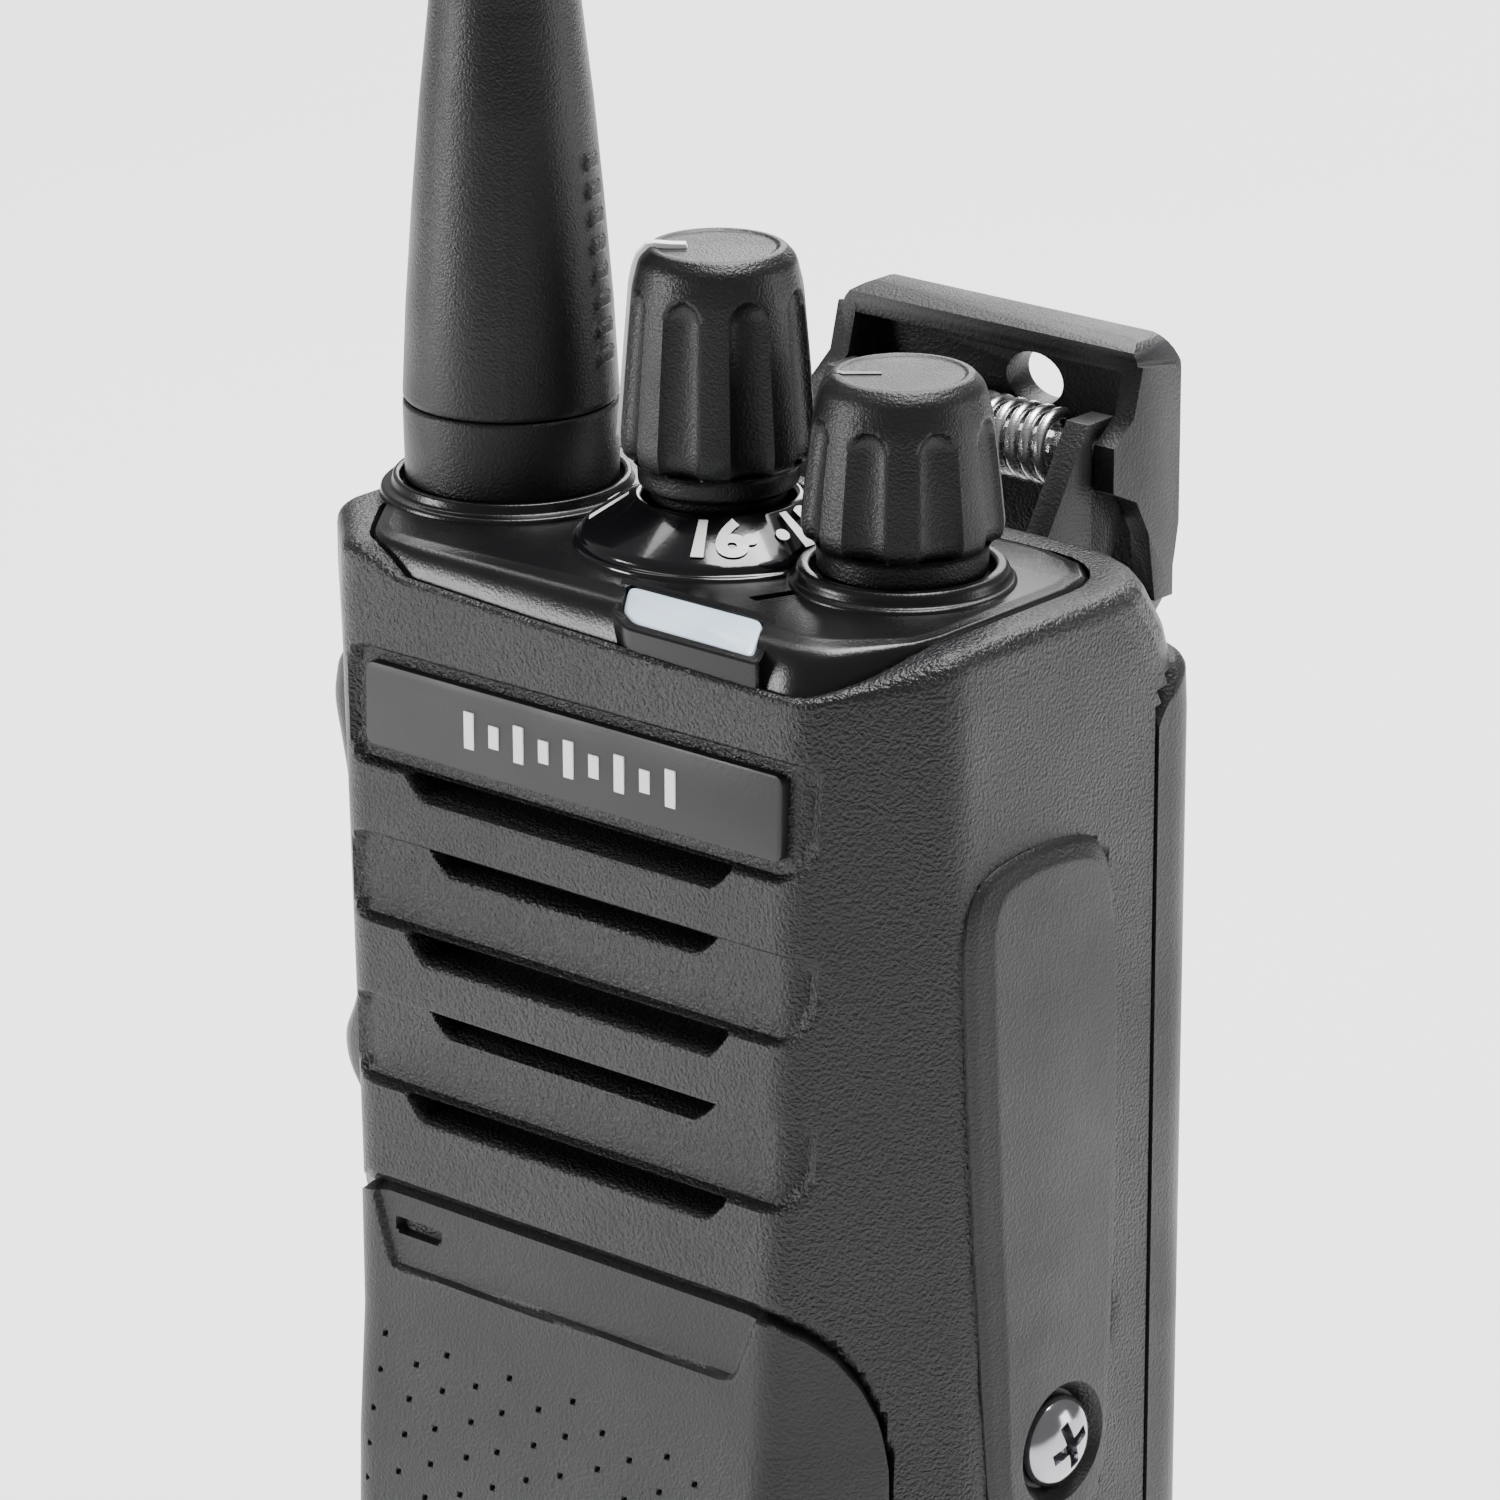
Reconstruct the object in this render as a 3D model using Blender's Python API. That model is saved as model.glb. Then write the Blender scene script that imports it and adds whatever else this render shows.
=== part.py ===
"""Portable two-way radio: a moulded case on a cast chassis, two top controls, a press-to-talk bar,
side keys, a whip antenna, a slide-latched battery pack and a sprung belt clip.

Frame: origin at the middle of the base, +Z up, the front of the radio faces -Y and +X is on the
right when it is seen from the front. Sizes below are in millimetres.
"""

import math

import bmesh
import bpy
from mathutils import Vector

MM = 0.001
GAP = 0.3
SMOOTH_ANGLE = math.radians(35)

# Case. A station is (height, front y, half width of the flat front, y where the side starts,
# rear y, radius of the rear corners, half width).
CASE_STATIONS = [
    (0.0, -16.8, 17.4, -7.0, 16.1, 3.0, 26.2),
    (1.0, -17.8, 17.8, -6.7, 16.9, 3.2, 27.0),
    (10.0, -18.9, 18.0, -6.7, 17.0, 3.5, 27.0),
    (45.0, -19.2, 18.0, -6.7, 17.0, 3.5, 27.0),
    (59.0, -18.7, 18.0, -6.7, 17.0, 3.5, 27.0),
    (68.0, -17.8, 18.1, -6.8, 17.0, 3.5, 27.0),
    (79.0, -17.43, 18.4, -7.3, 17.0, 3.5, 27.0),
    (113.0, -16.55, 19.8, -9.2, 17.0, 4.5, 27.0),
    (118.6, -16.4, 20.0, -9.5, 16.4, 7.0, 27.0),
    (121.2, -16.3, 20.0, -9.5, 15.2, 9.0, 26.8),
    (122.4, -15.6, 19.7, -9.2, 14.0, 9.0, 26.0),
]
EDGE_SOFTENING = 1.0
BASE_WALL = 4.0
SIDE_ROOM = 24.8
LEDGE_ROOM = 23.0
ROOM_FRONT = -13.2
LEDGE_Y = -0.9
SHELF_Z = (108.4, 110.0)
ROOF_Z = 118.2
DECK_SEAT_Z = 120.0
CASE_TOP = 122.4

# Deck and controls.
DECK_Z = (120.3, 123.0)
DECK_INSET = 2.3
ANTENNA = (-18.86, -0.65)
CHANNEL = (-0.5, -0.5)
VOLUME = (14.54, 0.32)
COLLAR_RADII = (7.65, 8.15)
COLLAR_TOP = 124.0
RING_RADII = (6.1, 7.0)
RING_TOP = 124.2
DIAL_PROFILE = [(5.0, 123.3), (9.3, 123.3), (9.3, 123.8), (5.6, 126.1), (5.0, 126.1)]
SHAFT_RADIUS = 2.7
BORE_RADIUS = 3.0
CHANNEL_SHAFT_Z = (111.8, 136.0)
VOLUME_SHAFT_Z = (111.8, 132.0)
# A knob's profile is (radius, height above its base, depth of the flutes there).
CHANNEL_KNOB_Z = 124.0
CHANNEL_KNOB = [(4.5, 0.0, 0.0), (4.6, 2.8, 0.0), (5.35, 2.95, 0.0), (5.35, 4.4, 0.0), (6.4, 5.0, 0.0),
                (6.5, 6.2, 0.75), (5.6, 16.6, 0.75), (5.0, 18.2, 0.0), (4.2, 19.0, 0.0)]
VOLUME_KNOB_Z = 123.5
VOLUME_KNOB = [(5.4, 0.0, 0.0), (5.6, 0.2, 0.0), (5.6, 2.2, 0.0), (6.5, 2.7, 0.0),
               (6.65, 3.6, 0.75), (5.75, 11.0, 0.75), (5.1, 12.6, 0.0), (4.2, 13.5, 0.0)]
VOLUME_MARK = ((-7.0, -1.0), (-0.3, 0.3), (13.0, 14.2))
KNOB_FLUTES = 8
POINTS_PER_FLUTE = 4
BODY_HALF = {"channel": 6.0, "volume": 5.4}
SWITCH_BODY_Z = (110.4, 116.5)
BUSHING_TOP = 121.6
BUSHING_RADIUS = 3.7
NUT_RADII = (4.0, 5.2)
NUT_Z = (120.3, 121.9)
POINTER_HALF_WIDTH = 0.42
POINTER_TURN = math.radians(39.0)
POINTER_DEPTH = 0.7
# Distances from the axis and heights above the knob's base, from the top down the side.
POINTER_LINE = [(2.0, 19.1), (4.4, 19.0), (5.2, 18.2), (5.8, 16.6), (6.65, 6.6)]

# Status lens: it slopes down over the deck's front edge.
LENS_Y = (-15.0, -12.0)
LENS_REAR_X = (1.8, 13.2)
LENS_FRONT_X = (5.0, 15.2)
LENS_TOP_Z = (122.95, 122.95, 121.9, 121.9)
LENS_FOOT_Z = 119.75

# Antenna.
SLEEVE = [(4.8, 123.3), (6.9, 123.3), (7.3, 123.7), (7.34, 129.35), (4.8, 129.35)]
PLUG = [(2.5, 112.0), (2.5, 122.9), (4.4, 123.3), (4.4, 128.8), (2.5, 129.3)]
JACK_RADII = (2.9, 3.7)
JACK_Z = (110.4, 121.6)
O_RING_RADII = (4.9, 5.9)
O_RING_Z = (122.2, 123.0)
CORE_RADIUS = 1.8
CORE_FOOT_Z = 129.8
WHIP = [(7.34, 129.65), (6.55, 138.0), (5.1, 158.0), (4.3, 180.0), (3.8, 210.0), (3.3, 268.0),
        (2.4, 271.2), (1.0, 272.4)]
WHIP_BORE = (2.2, 200.0)

# Front face.
BADGE_Z = (109.1, 115.0)
BADGE_HALF = 18.0
SLOTS = [(106.9, 13.3, -1), (102.4, 11.4, 1), (96.3, 13.3, -1), (91.1, 11.4, 1), (84.7, 13.3, -1)]
SLOT_HALF_HEIGHT = 0.8
SLOT_SLANT = 1.4
PANEL_Z = (3.0, 77.7)
PANEL_END_TOP = 66.8
PANEL_THICKNESS = 1.6
PANEL_END_X = 26.3
PANEL_SEAT_GAP = 0.5
SPEAKER_Z = 38.0
GRILLE_PITCH = (4.4, 4.4)
GRILLE_ROWS = 5
GRILLE_HOLE = 0.7
MIC = (-13.2, 75.3)
MIC_SLOT_HALF = (1.5, 0.4)

# Speaker and microphone: profiles are (radius, y).
CLOTH_RADIUS = 15.4
CLOTH_Y = (-16.8, -16.4)
SPEAKER_FRAME = [(15.0, -12.9), (16.0, -12.9), (16.0, -11.4), (9.8, -6.9), (6.0, -6.9), (6.0, -7.9),
                 (9.2, -7.9), (15.0, -12.0)]
SPEAKER_CONE = [(14.2, -12.7), (14.6, -12.3), (4.6, -9.2), (1.0, -8.8), (1.0, -9.2), (4.2, -9.6)]
MAGNET_RADIUS = 8.6
MAGNET_Y = (-6.7, -4.0)
MIC_BOOT = [(0.9, -12.9), (3.2, -12.9), (3.2, -9.6), (2.7, -9.6), (2.7, -12.2), (0.9, -12.2)]
MIC_CAPSULE_RADIUS = 2.3
MIC_CAPSULE_Y = (-11.8, -9.7)

# Left side: the press-to-talk bar, whose face is (z, x), and two keys, each (name, low z, high z).
KEY_FRONT = -8.4
KEY_REAR = 4.4
KEY_FLOOR = -25.3
PTT_Z = (78.4, 112.2)
PTT_FACE = [(78.4, -27.6), (80.0, -29.9), (82.4, -30.3), (85.6, -28.4), (91.0, -27.5), (97.5, -27.6),
            (103.0, -29.3), (107.4, -30.5), (110.4, -29.8), (112.2, -27.6)]
SIDE_KEYS = [("side_key_1", 69.0, 76.0), ("side_key_2", 60.0, 67.0)]
SIDE_KEY_FACE = -27.6
SIDE_KEY_INSIDE = -26.4
PTT_INSIDE = -26.9
RIB_Y = (-5.0, -2.0)
RIB_END = -21.9
RIB_HALF = 1.6

# Right side: the accessory socket under its cover.
COVER_POCKET_FLOOR = 26.0
COVER_X = (26.3, 27.95)
COVER_OUTLINE = [(-4.6, 58.4), (5.6, 58.4), (6.9, 61.0), (7.6, 94.0), (6.4, 104.6), (3.6, 107.7),
                 (-4.6, 107.7), (-6.4, 105.4)]
SCREW_YZ = (1.2, 64.9)
COVER_SCREW = [(1.3, 25.0), (1.3, 27.6), (3.2, 27.6), (3.2, 28.1), (2.6, 28.7), (1.2, 29.0)]
COVER_HOLE = 1.7
COVER_DISH = 3.7

# Inside. Boxes are (x, y, z) ranges.
MAIN_BOARD = ((-16.6, 17.6), (-3.2, -1.7), (6.0, 105.4))
SHIELD = ((-14.0, 15.0), (-6.6, -3.6), (54.0, 100.0))
SHIELD_ROOM = ((-13.4, 14.4), (-6.0, -3.0), (54.6, 99.4))
SIDE_BOARD = ((-18.2, -17.4), (-6.5, -1.4), (59.0, 100.0))
ACCESSORY_JACK = ((20.6, 25.6), (-5.4, -1.9), (78.1, 97.9))
SWITCH_X = (-20.4, -18.5)
SWITCH_HALF = 1.8
CHASSIS_HALF = 24.3
CHASSIS_Y = (0.5, 2.3)
CHASSIS_Z = (4.5, 108.0)
GASKET_Y = (-0.6, 0.2)
GASKET_WIDTH = 1.1
SCREW_HOLE = 1.3
SCREW_SEAT = 2.3
SCREW_SEAT_Y = 1.2
CHASSIS_SCREW = [(1.0, -5.6), (1.0, 1.5), (1.95, 1.5), (1.95, 2.2)]
TERMINALS_Z = (16.0, 21.0)
TERMINALS_HALF = 8.0
RADIO_TERMINALS_Y = (-1.3, 2.5)

# Battery pack.
BATTERY_Z = (3.7, 113.3)
NECK_Z = (4.4, 108.0)
NECK_HALF = 24.3
SEAM_Y = 11.6
BATTERY_REAR = 17.0
LID_Y = (2.9, 4.5)
CELL_HALF = 17.0
CELL_Y = (5.1, 15.0)
CELL_ROUNDING = 1.2
CELL_BAY = ((-22.6, 22.6), (0.0, 15.4), (23.4, 107.0))
BATTERY_BOARD = ((18.0, 19.2), (5.2, 14.8), (60.0, 104.0))
BATTERY_CONTACTS_Y = (2.8, 4.6)
CELLS = [("cell_lower", 24.2, 65.0), ("cell_upper", 65.6, 106.4)]
LATCH_HALF = 6.5
LATCH_OUTLINE = [(12.7, 1.2), (14.1, 1.2), (14.1, 6.4), (17.3, 6.4), (17.3, 18.0), (16.6, 18.0),
                 (16.6, 12.4), (12.7, 12.4)]
LATCH_POCKET_TOP = 20.8
LATCH_SPRING_Z = (12.7, 20.5)
LATCH_SPRING_RADII = (0.9, 1.6)
LATCH_SPRING_XY = (0.0, 14.6)
LATCH_PIVOT = (0.0, 14.0, 8.0)

# Belt clip.
HINGE_Y = 26.0
HINGE_Z = 124.5
PIN_RADIUS = 1.4
PIN_HOLE = 1.7
PIN_HALF = 13.3
CHEEK_X = (9.6, 11.5)
ARM_X = (11.9, 13.5)
CHEEK_OUTLINE = [(17.3, 96.0), (19.4, 96.0), (24.5, 113.0), (28.6, 121.6), (28.6, 126.2), (26.6, 127.4),
                 (23.8, 127.4), (17.3, 117.0)]
EAR_OUTLINE = [(23.6, 122.6), (25.0, 121.6), (30.2, 121.6), (30.2, 128.0), (25.0, 128.0), (23.6, 126.4)]
PLATE_Y = (17.3, 19.3)
PLATE_Z = (80.0, 112.0)
CLIP_SPRING_RADII = (1.8, 2.9)
CLIP_SPRING_HALF = 8.6
TONGUE_HALF = 9.2
TONGUE_TOP = 112.0
LEVER_OUTLINE = [(28.9, 134.2), (27.4, 133.6), (27.2, 132.2), (29.4, 131.4), (29.7, 119.0), (27.8, 108.0),
                 (25.2, 72.0), (23.2, 66.0), (24.2, 64.4), (27.2, 69.0), (29.8, 107.0), (32.0, 119.0),
                 (32.0, 132.2), (31.0, 134.2)]
LEVER_HALF = 13.5
LEVER_HOLE = (0.0, 128.6, 3.0, 2.4)

COLOURS = {
    "case": ((0.028, 0.028, 0.030), 0.55, 0.0),
    "deck": ((0.020, 0.020, 0.022), 0.35, 0.0),
    "dial": ((0.012, 0.012, 0.014), 0.15, 0.0),
    "lens": ((0.62, 0.72, 0.82), 0.25, 0.0),
    "badge": ((0.045, 0.045, 0.047), 0.45, 0.0),
    "rubber": ((0.022, 0.022, 0.023), 0.75, 0.0),
    "pointer": ((0.85, 0.85, 0.84), 0.4, 0.0),
    "aluminium": ((0.55, 0.56, 0.58), 0.4, 1.0),
    "steel": ((0.6, 0.6, 0.6), 0.25, 1.0),
    "brass": ((0.72, 0.55, 0.25), 0.3, 1.0),
    "chrome": ((0.78, 0.78, 0.80), 0.1, 1.0),
    "board": ((0.02, 0.16, 0.07), 0.5, 0.0),
    "inner_plastic": ((0.09, 0.09, 0.10), 0.5, 0.0),
    "cone": ((0.10, 0.09, 0.08), 0.85, 0.0),
    "cell": ((0.20, 0.32, 0.52), 0.4, 0.0),
    "gold": ((0.85, 0.63, 0.30), 0.25, 1.0),
}


def clear_scene():
    for obj in list(bpy.data.objects):
        bpy.data.objects.remove(obj)


def material(slot):
    if slot in bpy.data.materials:
        return bpy.data.materials[slot]
    colour, roughness, metallic = COLOURS[slot]
    made = bpy.data.materials.new(slot)
    made.use_nodes = True
    shader = made.node_tree.nodes["Principled BSDF"]
    shader.inputs["Base Color"].default_value = (*colour, 1.0)
    shader.inputs["Roughness"].default_value = roughness
    shader.inputs["Metallic"].default_value = metallic
    return made


def add_object(name, points, faces, slot, pivot=(0.0, 0.0, 0.0)):
    """A closed body from millimetre points, with its origin at the pivot."""
    mesh = bmesh.new()
    vertices = [mesh.verts.new((Vector(point) - Vector(pivot)) * MM) for point in points]
    for face in faces:
        mesh.faces.new([vertices[index] for index in face])
    bmesh.ops.recalc_face_normals(mesh, faces=mesh.faces)
    if mesh.calc_volume(signed=True) < 0:
        bmesh.ops.reverse_faces(mesh, faces=mesh.faces)
    data = bpy.data.meshes.new(name)
    mesh.to_mesh(data)
    mesh.free()
    data.shade_smooth()
    data.set_sharp_from_angle(angle=SMOOTH_ANGLE)
    data.materials.append(material(slot))
    obj = bpy.data.objects.new(name, data)
    obj.location = Vector(pivot) * MM
    bpy.context.scene.collection.objects.link(obj)
    return obj


def strip_faces(ring_count, size, wrap):
    """Quads between successive rings of points, and back to the first ring if it wraps."""
    faces = []
    for ring in range(ring_count if wrap else ring_count - 1):
        here, there = ring * size, (ring + 1) % ring_count * size
        for index in range(size):
            following = (index + 1) % size
            faces.append((here + index, here + following, there + following, there + index))
    return faces


def loft(name, rings, slot, pivot=(0.0, 0.0, 0.0), wrap=False, channel=False):
    """Rings of equal length joined in order, capped at both ends unless they wrap round.

    A channel's ring runs along its outside and back along its inside, and its caps are split across."""
    size = len(rings[0])
    faces = strip_faces(len(rings), size, wrap)
    if channel:
        caps = [(index, index + 1, size - 2 - index, size - 1 - index) for index in range(size // 2 - 1)]
    else:
        caps = [tuple(range(size))]
    if not wrap:
        last = (len(rings) - 1) * size
        faces += caps + [tuple(last + index for index in cap) for cap in caps]
    return add_object(name, [point for ring in rings for point in ring], faces, slot, pivot)


def placed(axis, first, second, along):
    """A point from its two coordinates across an axis and the one along it."""
    return {"x": (along, first, second), "y": (first, along, second), "z": (first, second, along)}[axis]


def prism(name, outline, axis, low, high, slot, pivot=(0.0, 0.0, 0.0)):
    rings = [[placed(axis, first, second, along) for first, second in outline] for along in (low, high)]
    return loft(name, rings, slot, pivot)


def box(name, x, y, z, slot, pivot=(0.0, 0.0, 0.0)):
    outline = [(x[0], y[0]), (x[1], y[0]), (x[1], y[1]), (x[0], y[1])]
    return prism(name, outline, "z", z[0], z[1], slot, pivot)


def circle(radius, centre=(0.0, 0.0), sides=24, phase=0.0):
    turns = [phase + 2 * math.pi * side / sides for side in range(sides)]
    return [(centre[0] + radius * math.cos(turn), centre[1] + radius * math.sin(turn)) for turn in turns]


def turned(name, profile, axis, centre, slot, sides=24, solid=False, pivot=(0.0, 0.0, 0.0), phase=0.0):
    """A profile of (radius, distance along) turned about an axis, as a ring or, if solid, with flat ends."""
    rings = []
    for radius, along in profile:
        ring = circle(radius, centre, sides, phase)
        rings.append([placed(axis, first, second, along) for first, second in ring])
    return loft(name, rings, slot, pivot, wrap=not solid)


def rod(name, radius, axis, centre, low, high, slot, sides=24, pivot=(0.0, 0.0, 0.0)):
    return turned(name, [(radius, low), (radius, high)], axis, centre, slot, sides, True, pivot)


def tube(name, radii, axis, centre, low, high, slot, sides=24):
    profile = [(radii[0], low), (radii[1], low), (radii[1], high), (radii[0], high)]
    return turned(name, profile, axis, centre, slot, sides)


def combine(target, tool, operation):
    """Cuts the tool out of the target, or joins it on, and hides the tool."""
    change = target.modifiers.new(operation.lower(), "BOOLEAN")
    change.operation = operation
    change.solver = "EXACT"
    change.object = tool
    tool.hide_render = True
    tool.display_type = "WIRE"


def cut(target, *tools):
    for tool in tools:
        combine(target, tool, "DIFFERENCE")


def join(target, *tools):
    for tool in tools:
        combine(target, tool, "UNION")


def blend(low, high, share):
    return low + (high - low) * share


def case_station(z):
    """The case's section values at a height, between the stations above and below it."""
    for low, high in zip(CASE_STATIONS, CASE_STATIONS[1:]):
        if z <= high[0]:
            share = (z - low[0]) / (high[0] - low[0])
            return [blend(first, second, share) for first, second in zip(low[1:], high[1:])]
    return list(CASE_STATIONS[-1][1:])


def softened(before, corner, after):
    """Two points in place of a corner, a short way along each of its edges."""
    corner = Vector(corner)
    to_before = (Vector(before) - corner).normalized() * EDGE_SOFTENING
    to_after = (Vector(after) - corner).normalized() * EDGE_SOFTENING
    return [tuple(corner + to_before), tuple(corner + to_after)]


def case_outline(z, inset=0.0):
    """The right half of the section, from the middle of the front to the middle of the rear."""
    front, flat, side, rear, radius, half = case_station(z)
    slant = math.tan(math.pi / 8) * inset
    front, flat, side = front + inset, flat - slant, side + slant
    rear, radius, half = rear - inset, max(radius - inset, 0.8), half - inset
    shoulder, edge = (flat, front), (half, side)
    right = softened((0.0, front), shoulder, edge) + softened(shoulder, edge, (half, rear))
    for step in range(5):
        turn = math.pi / 2 * step / 4
        right.append((half - radius + radius * math.cos(turn), rear - radius + radius * math.sin(turn)))
    return right


def case_ring(z, inset=0.0, at=None):
    right = case_outline(z, inset)
    left = [(-x, y) for x, y in reversed(right)]
    return [(x, y, z if at is None else at) for x, y in right + left]


def front_case():
    case = loft("front_case", [case_ring(station[0]) for station in CASE_STATIONS], "case")
    chamfer = 7.0
    room_rear = LEDGE_Y + 0.4
    room = [(-LEDGE_ROOM, room_rear), (-LEDGE_ROOM, ROOM_FRONT + chamfer), (-LEDGE_ROOM + chamfer, ROOM_FRONT),
            (LEDGE_ROOM - chamfer, ROOM_FRONT), (LEDGE_ROOM, ROOM_FRONT + chamfer), (LEDGE_ROOM, room_rear)]
    cut(case, prism("cut_front_room", room, "z", BASE_WALL + 1.0, ROOF_Z, "case"))
    join(case, *screw_posts())
    cut(case, box("cut_rear_pocket", (-SIDE_ROOM, SIDE_ROOM), (LEDGE_Y, 20), (BASE_WALL, SHELF_Z[0]), "case"))
    cut(case, box("cut_control_room", (-22.6, 22.6), (LEDGE_Y - 4, 9.8), (SHELF_Z[1], ROOF_Z - 0.1), "case"))
    bay_z = (BATTERY_Z[0] - GAP, BATTERY_Z[1] + GAP)
    cut(case, box("cut_battery_bay", (-30, 30), (SEAM_Y - GAP, 20), bay_z, "case"))
    cut_top(case)
    cut_front(case)
    cut_sides(case)
    slot_y = (12.4, 14.4)
    cut(case, box("cut_latch_slot", (-LATCH_HALF - GAP, LATCH_HALF + GAP), slot_y, (0.8, 6.0), "case"))


def screw_places():
    return [(side * 20.6, z) for z in (14.0, 103.6) for side in (-1, 1)]


def screw_posts():
    posts = []
    for number, (x, z) in enumerate(screw_places(), 1):
        inner, outer = sorted((x - math.copysign(2.1, x), math.copysign(24.0, x)))
        post = box(f"post_{number}", (inner, outer), (-8.0, 0.0), (z - 2.2, z + 2.2), "case")
        cut(post, rod(f"cut_post_{number}", 1.3, "y", (x, z), -6.5, 2.0, "case", 12))
        posts.append(post)
    posts.append(box("cross_rib", (-24, 24), (-2.6, 0.0), (106.2, 109.2), "case"))
    return posts


def cut_top(case):
    seat_z = (DECK_SEAT_Z, CASE_TOP + 2)
    seat = [[(x, y, z) for x, y, _ in case_ring(CASE_TOP, DECK_INSET - GAP)] for z in seat_z]
    cut(case, loft("cut_deck_seat", seat, "case"))
    cut(case, rod("cut_collar_seat", COLLAR_RADII[1] + GAP, "z", ANTENNA, *seat_z, "case", 32))
    for name, centre in (("antenna", ANTENNA), ("channel", CHANNEL), ("volume", VOLUME)):
        cut(case, rod(f"cut_{name}_hole", NUT_RADII[0], "z", centre, ROOF_Z - 2, DECK_SEAT_Z + 1, "case"))
    cut(case, prism("cut_lens_notch", lens_outline(GAP), "z", 120.0 - 0.6, CASE_TOP + 1, "case"))


def cut_front(case):
    half = BADGE_HALF + GAP
    recess_y = (-18.0, case_station(BADGE_Z[0])[0] + 1.0)
    cut(case, box("cut_badge", (-half, half), recess_y, (BADGE_Z[0] - GAP, BADGE_Z[1] + GAP), "case"))
    for number, (z, half, side) in enumerate(SLOTS, 1):
        low, high = z - SLOT_HALF_HEIGHT, z + SLOT_HALF_HEIGHT
        wide, narrow = (high, low) if side > 0 else (low, high)
        outline = [(-half - SLOT_SLANT, wide), (half + SLOT_SLANT, wide), (half, narrow), (-half, narrow)]
        cut(case, prism(f"cut_slot_{number}", outline, "y", -19.0, case_station(z)[0] + 1.1, "case"))
    seat = panel_rings(PANEL_THICKNESS + PANEL_SEAT_GAP, 4.0, GAP)
    cut(case, loft("cut_panel_seat", seat, "case", channel=True))
    cut(case, rod("cut_speaker", 14.0, "y", (0.0, SPEAKER_Z), -20, -12, "case", 32))
    cut(case, rod("cut_cloth", 15.8, "y", (0.0, SPEAKER_Z), -20, -16.2, "case", 32))
    cut(case, rod("cut_mic", 1.0, "y", MIC, -20, -12, "case", 8))


def cut_sides(case):
    key_y = (KEY_FRONT - 0.4, KEY_REAR + 0.4)
    for name, low, high in [("ptt", *PTT_Z)] + SIDE_KEYS:
        cut(case, box(f"cut_{name}", (-31, KEY_FLOOR), key_y, (low - 0.4, high + 0.4), "case"))
        middle = (low + high) / 2
        rib_y = (RIB_Y[0] - 0.4, RIB_Y[1] + 0.4)
        cut(case, box(f"cut_{name}_rib", (-27, -22), rib_y, (middle - 2.0, middle + 2.0), "case"))
    cut(case, prism("cut_cover", grown(COVER_OUTLINE, GAP), "x", COVER_POCKET_FLOOR, 30, "case"))
    cut(case, box("cut_jack", (20, 28), (-5.8, -1.5), (77.7, 98.3), "case"))
    cut(case, rod("cut_cover_screw", COVER_HOLE, "x", SCREW_YZ, 20, 28, "case", 12))


def grown(outline, distance):
    """An outline pushed out by a distance, each corner along its two edges' normals."""
    middle = sum((Vector(point) for point in outline), Vector((0.0, 0.0))) / len(outline)
    result = []
    for index, point in enumerate(outline):
        before = (Vector(point) - Vector(outline[index - 1])).normalized()
        after = (Vector(outline[(index + 1) % len(outline)]) - Vector(point)).normalized()
        normal = Vector((before.y + after.y, -before.x - after.x)).normalized()
        outward = 1 if normal.dot(Vector(point) - middle) > 0 else -1
        stretch = max(normal.dot(Vector((before.y, -before.x))), 0.5)
        result.append(tuple(Vector(point) + normal * outward * distance / stretch))
    return result


def panel_rings(depth, push, grow):
    """The lower front panel's section at each height: it wraps the front and both slanted faces."""
    low, high = PANEL_Z[0] - grow, PANEL_Z[1] + grow
    levels = [low, 10.0, 45.0, 59.0, 68.0, high]
    rings = []
    for z in levels:
        end_z = low + (z - low) * (PANEL_END_TOP + grow - low) / (high - low)
        outer = panel_edge(z, end_z, -push, grow)
        inner = panel_edge(z, end_z, depth, grow)
        rings.append(outer + inner[::-1])
    return rings


def panel_edge(z, end_z, inset, grow):
    """Four points across the front at a depth below its surface, from left to right."""
    front, flat = case_station(z)[:2]
    slant = math.tan(math.pi / 8) * inset
    end_front, end_flat, end_side, _, _, half = case_station(end_z)
    share = (PANEL_END_X + grow - end_flat) / (half - end_flat)
    run = Vector((half - end_flat, end_side - end_front)).normalized()
    end = Vector((blend(end_flat, half, share), blend(end_front, end_side, share)))
    end += Vector((-run.y, run.x)) * inset
    return [(-end.x, end.y, end_z), (-flat + slant, front + inset, z),
            (flat - slant, front + inset, z), (end.x, end.y, end_z)]


def lower_front_panel():
    panel = loft("lower_front_panel", panel_rings(PANEL_THICKNESS, 0.0, 0.0), "case", channel=True)
    middle = (GRILLE_ROWS - 1) / 2
    for row in range(GRILLE_ROWS):
        for column in range(GRILLE_ROWS):
            x = (column - middle) * GRILLE_PITCH[0]
            z = SPEAKER_Z + (row - middle) * GRILLE_PITCH[1]
            name = f"cut_grille_{row}_{column}"
            cut(panel, rod(name, GRILLE_HOLE, "y", (x, z), -21, -15, "case", 6))
    slot_x = (MIC[0] - MIC_SLOT_HALF[0], MIC[0] + MIC_SLOT_HALF[0])
    slot_z = (MIC[1] - MIC_SLOT_HALF[1], MIC[1] + MIC_SLOT_HALF[1])
    cut(panel, box("cut_mic_slot", slot_x, (-21, -15), slot_z, "case"))


def lens_outline(grow):
    rear, front = LENS_Y[1] + grow, LENS_Y[0] - grow
    return [(LENS_REAR_X[0] - grow, rear), (LENS_REAR_X[1] + grow, rear),
            (LENS_FRONT_X[1] + grow, front), (LENS_FRONT_X[0] - grow, front)]


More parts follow.
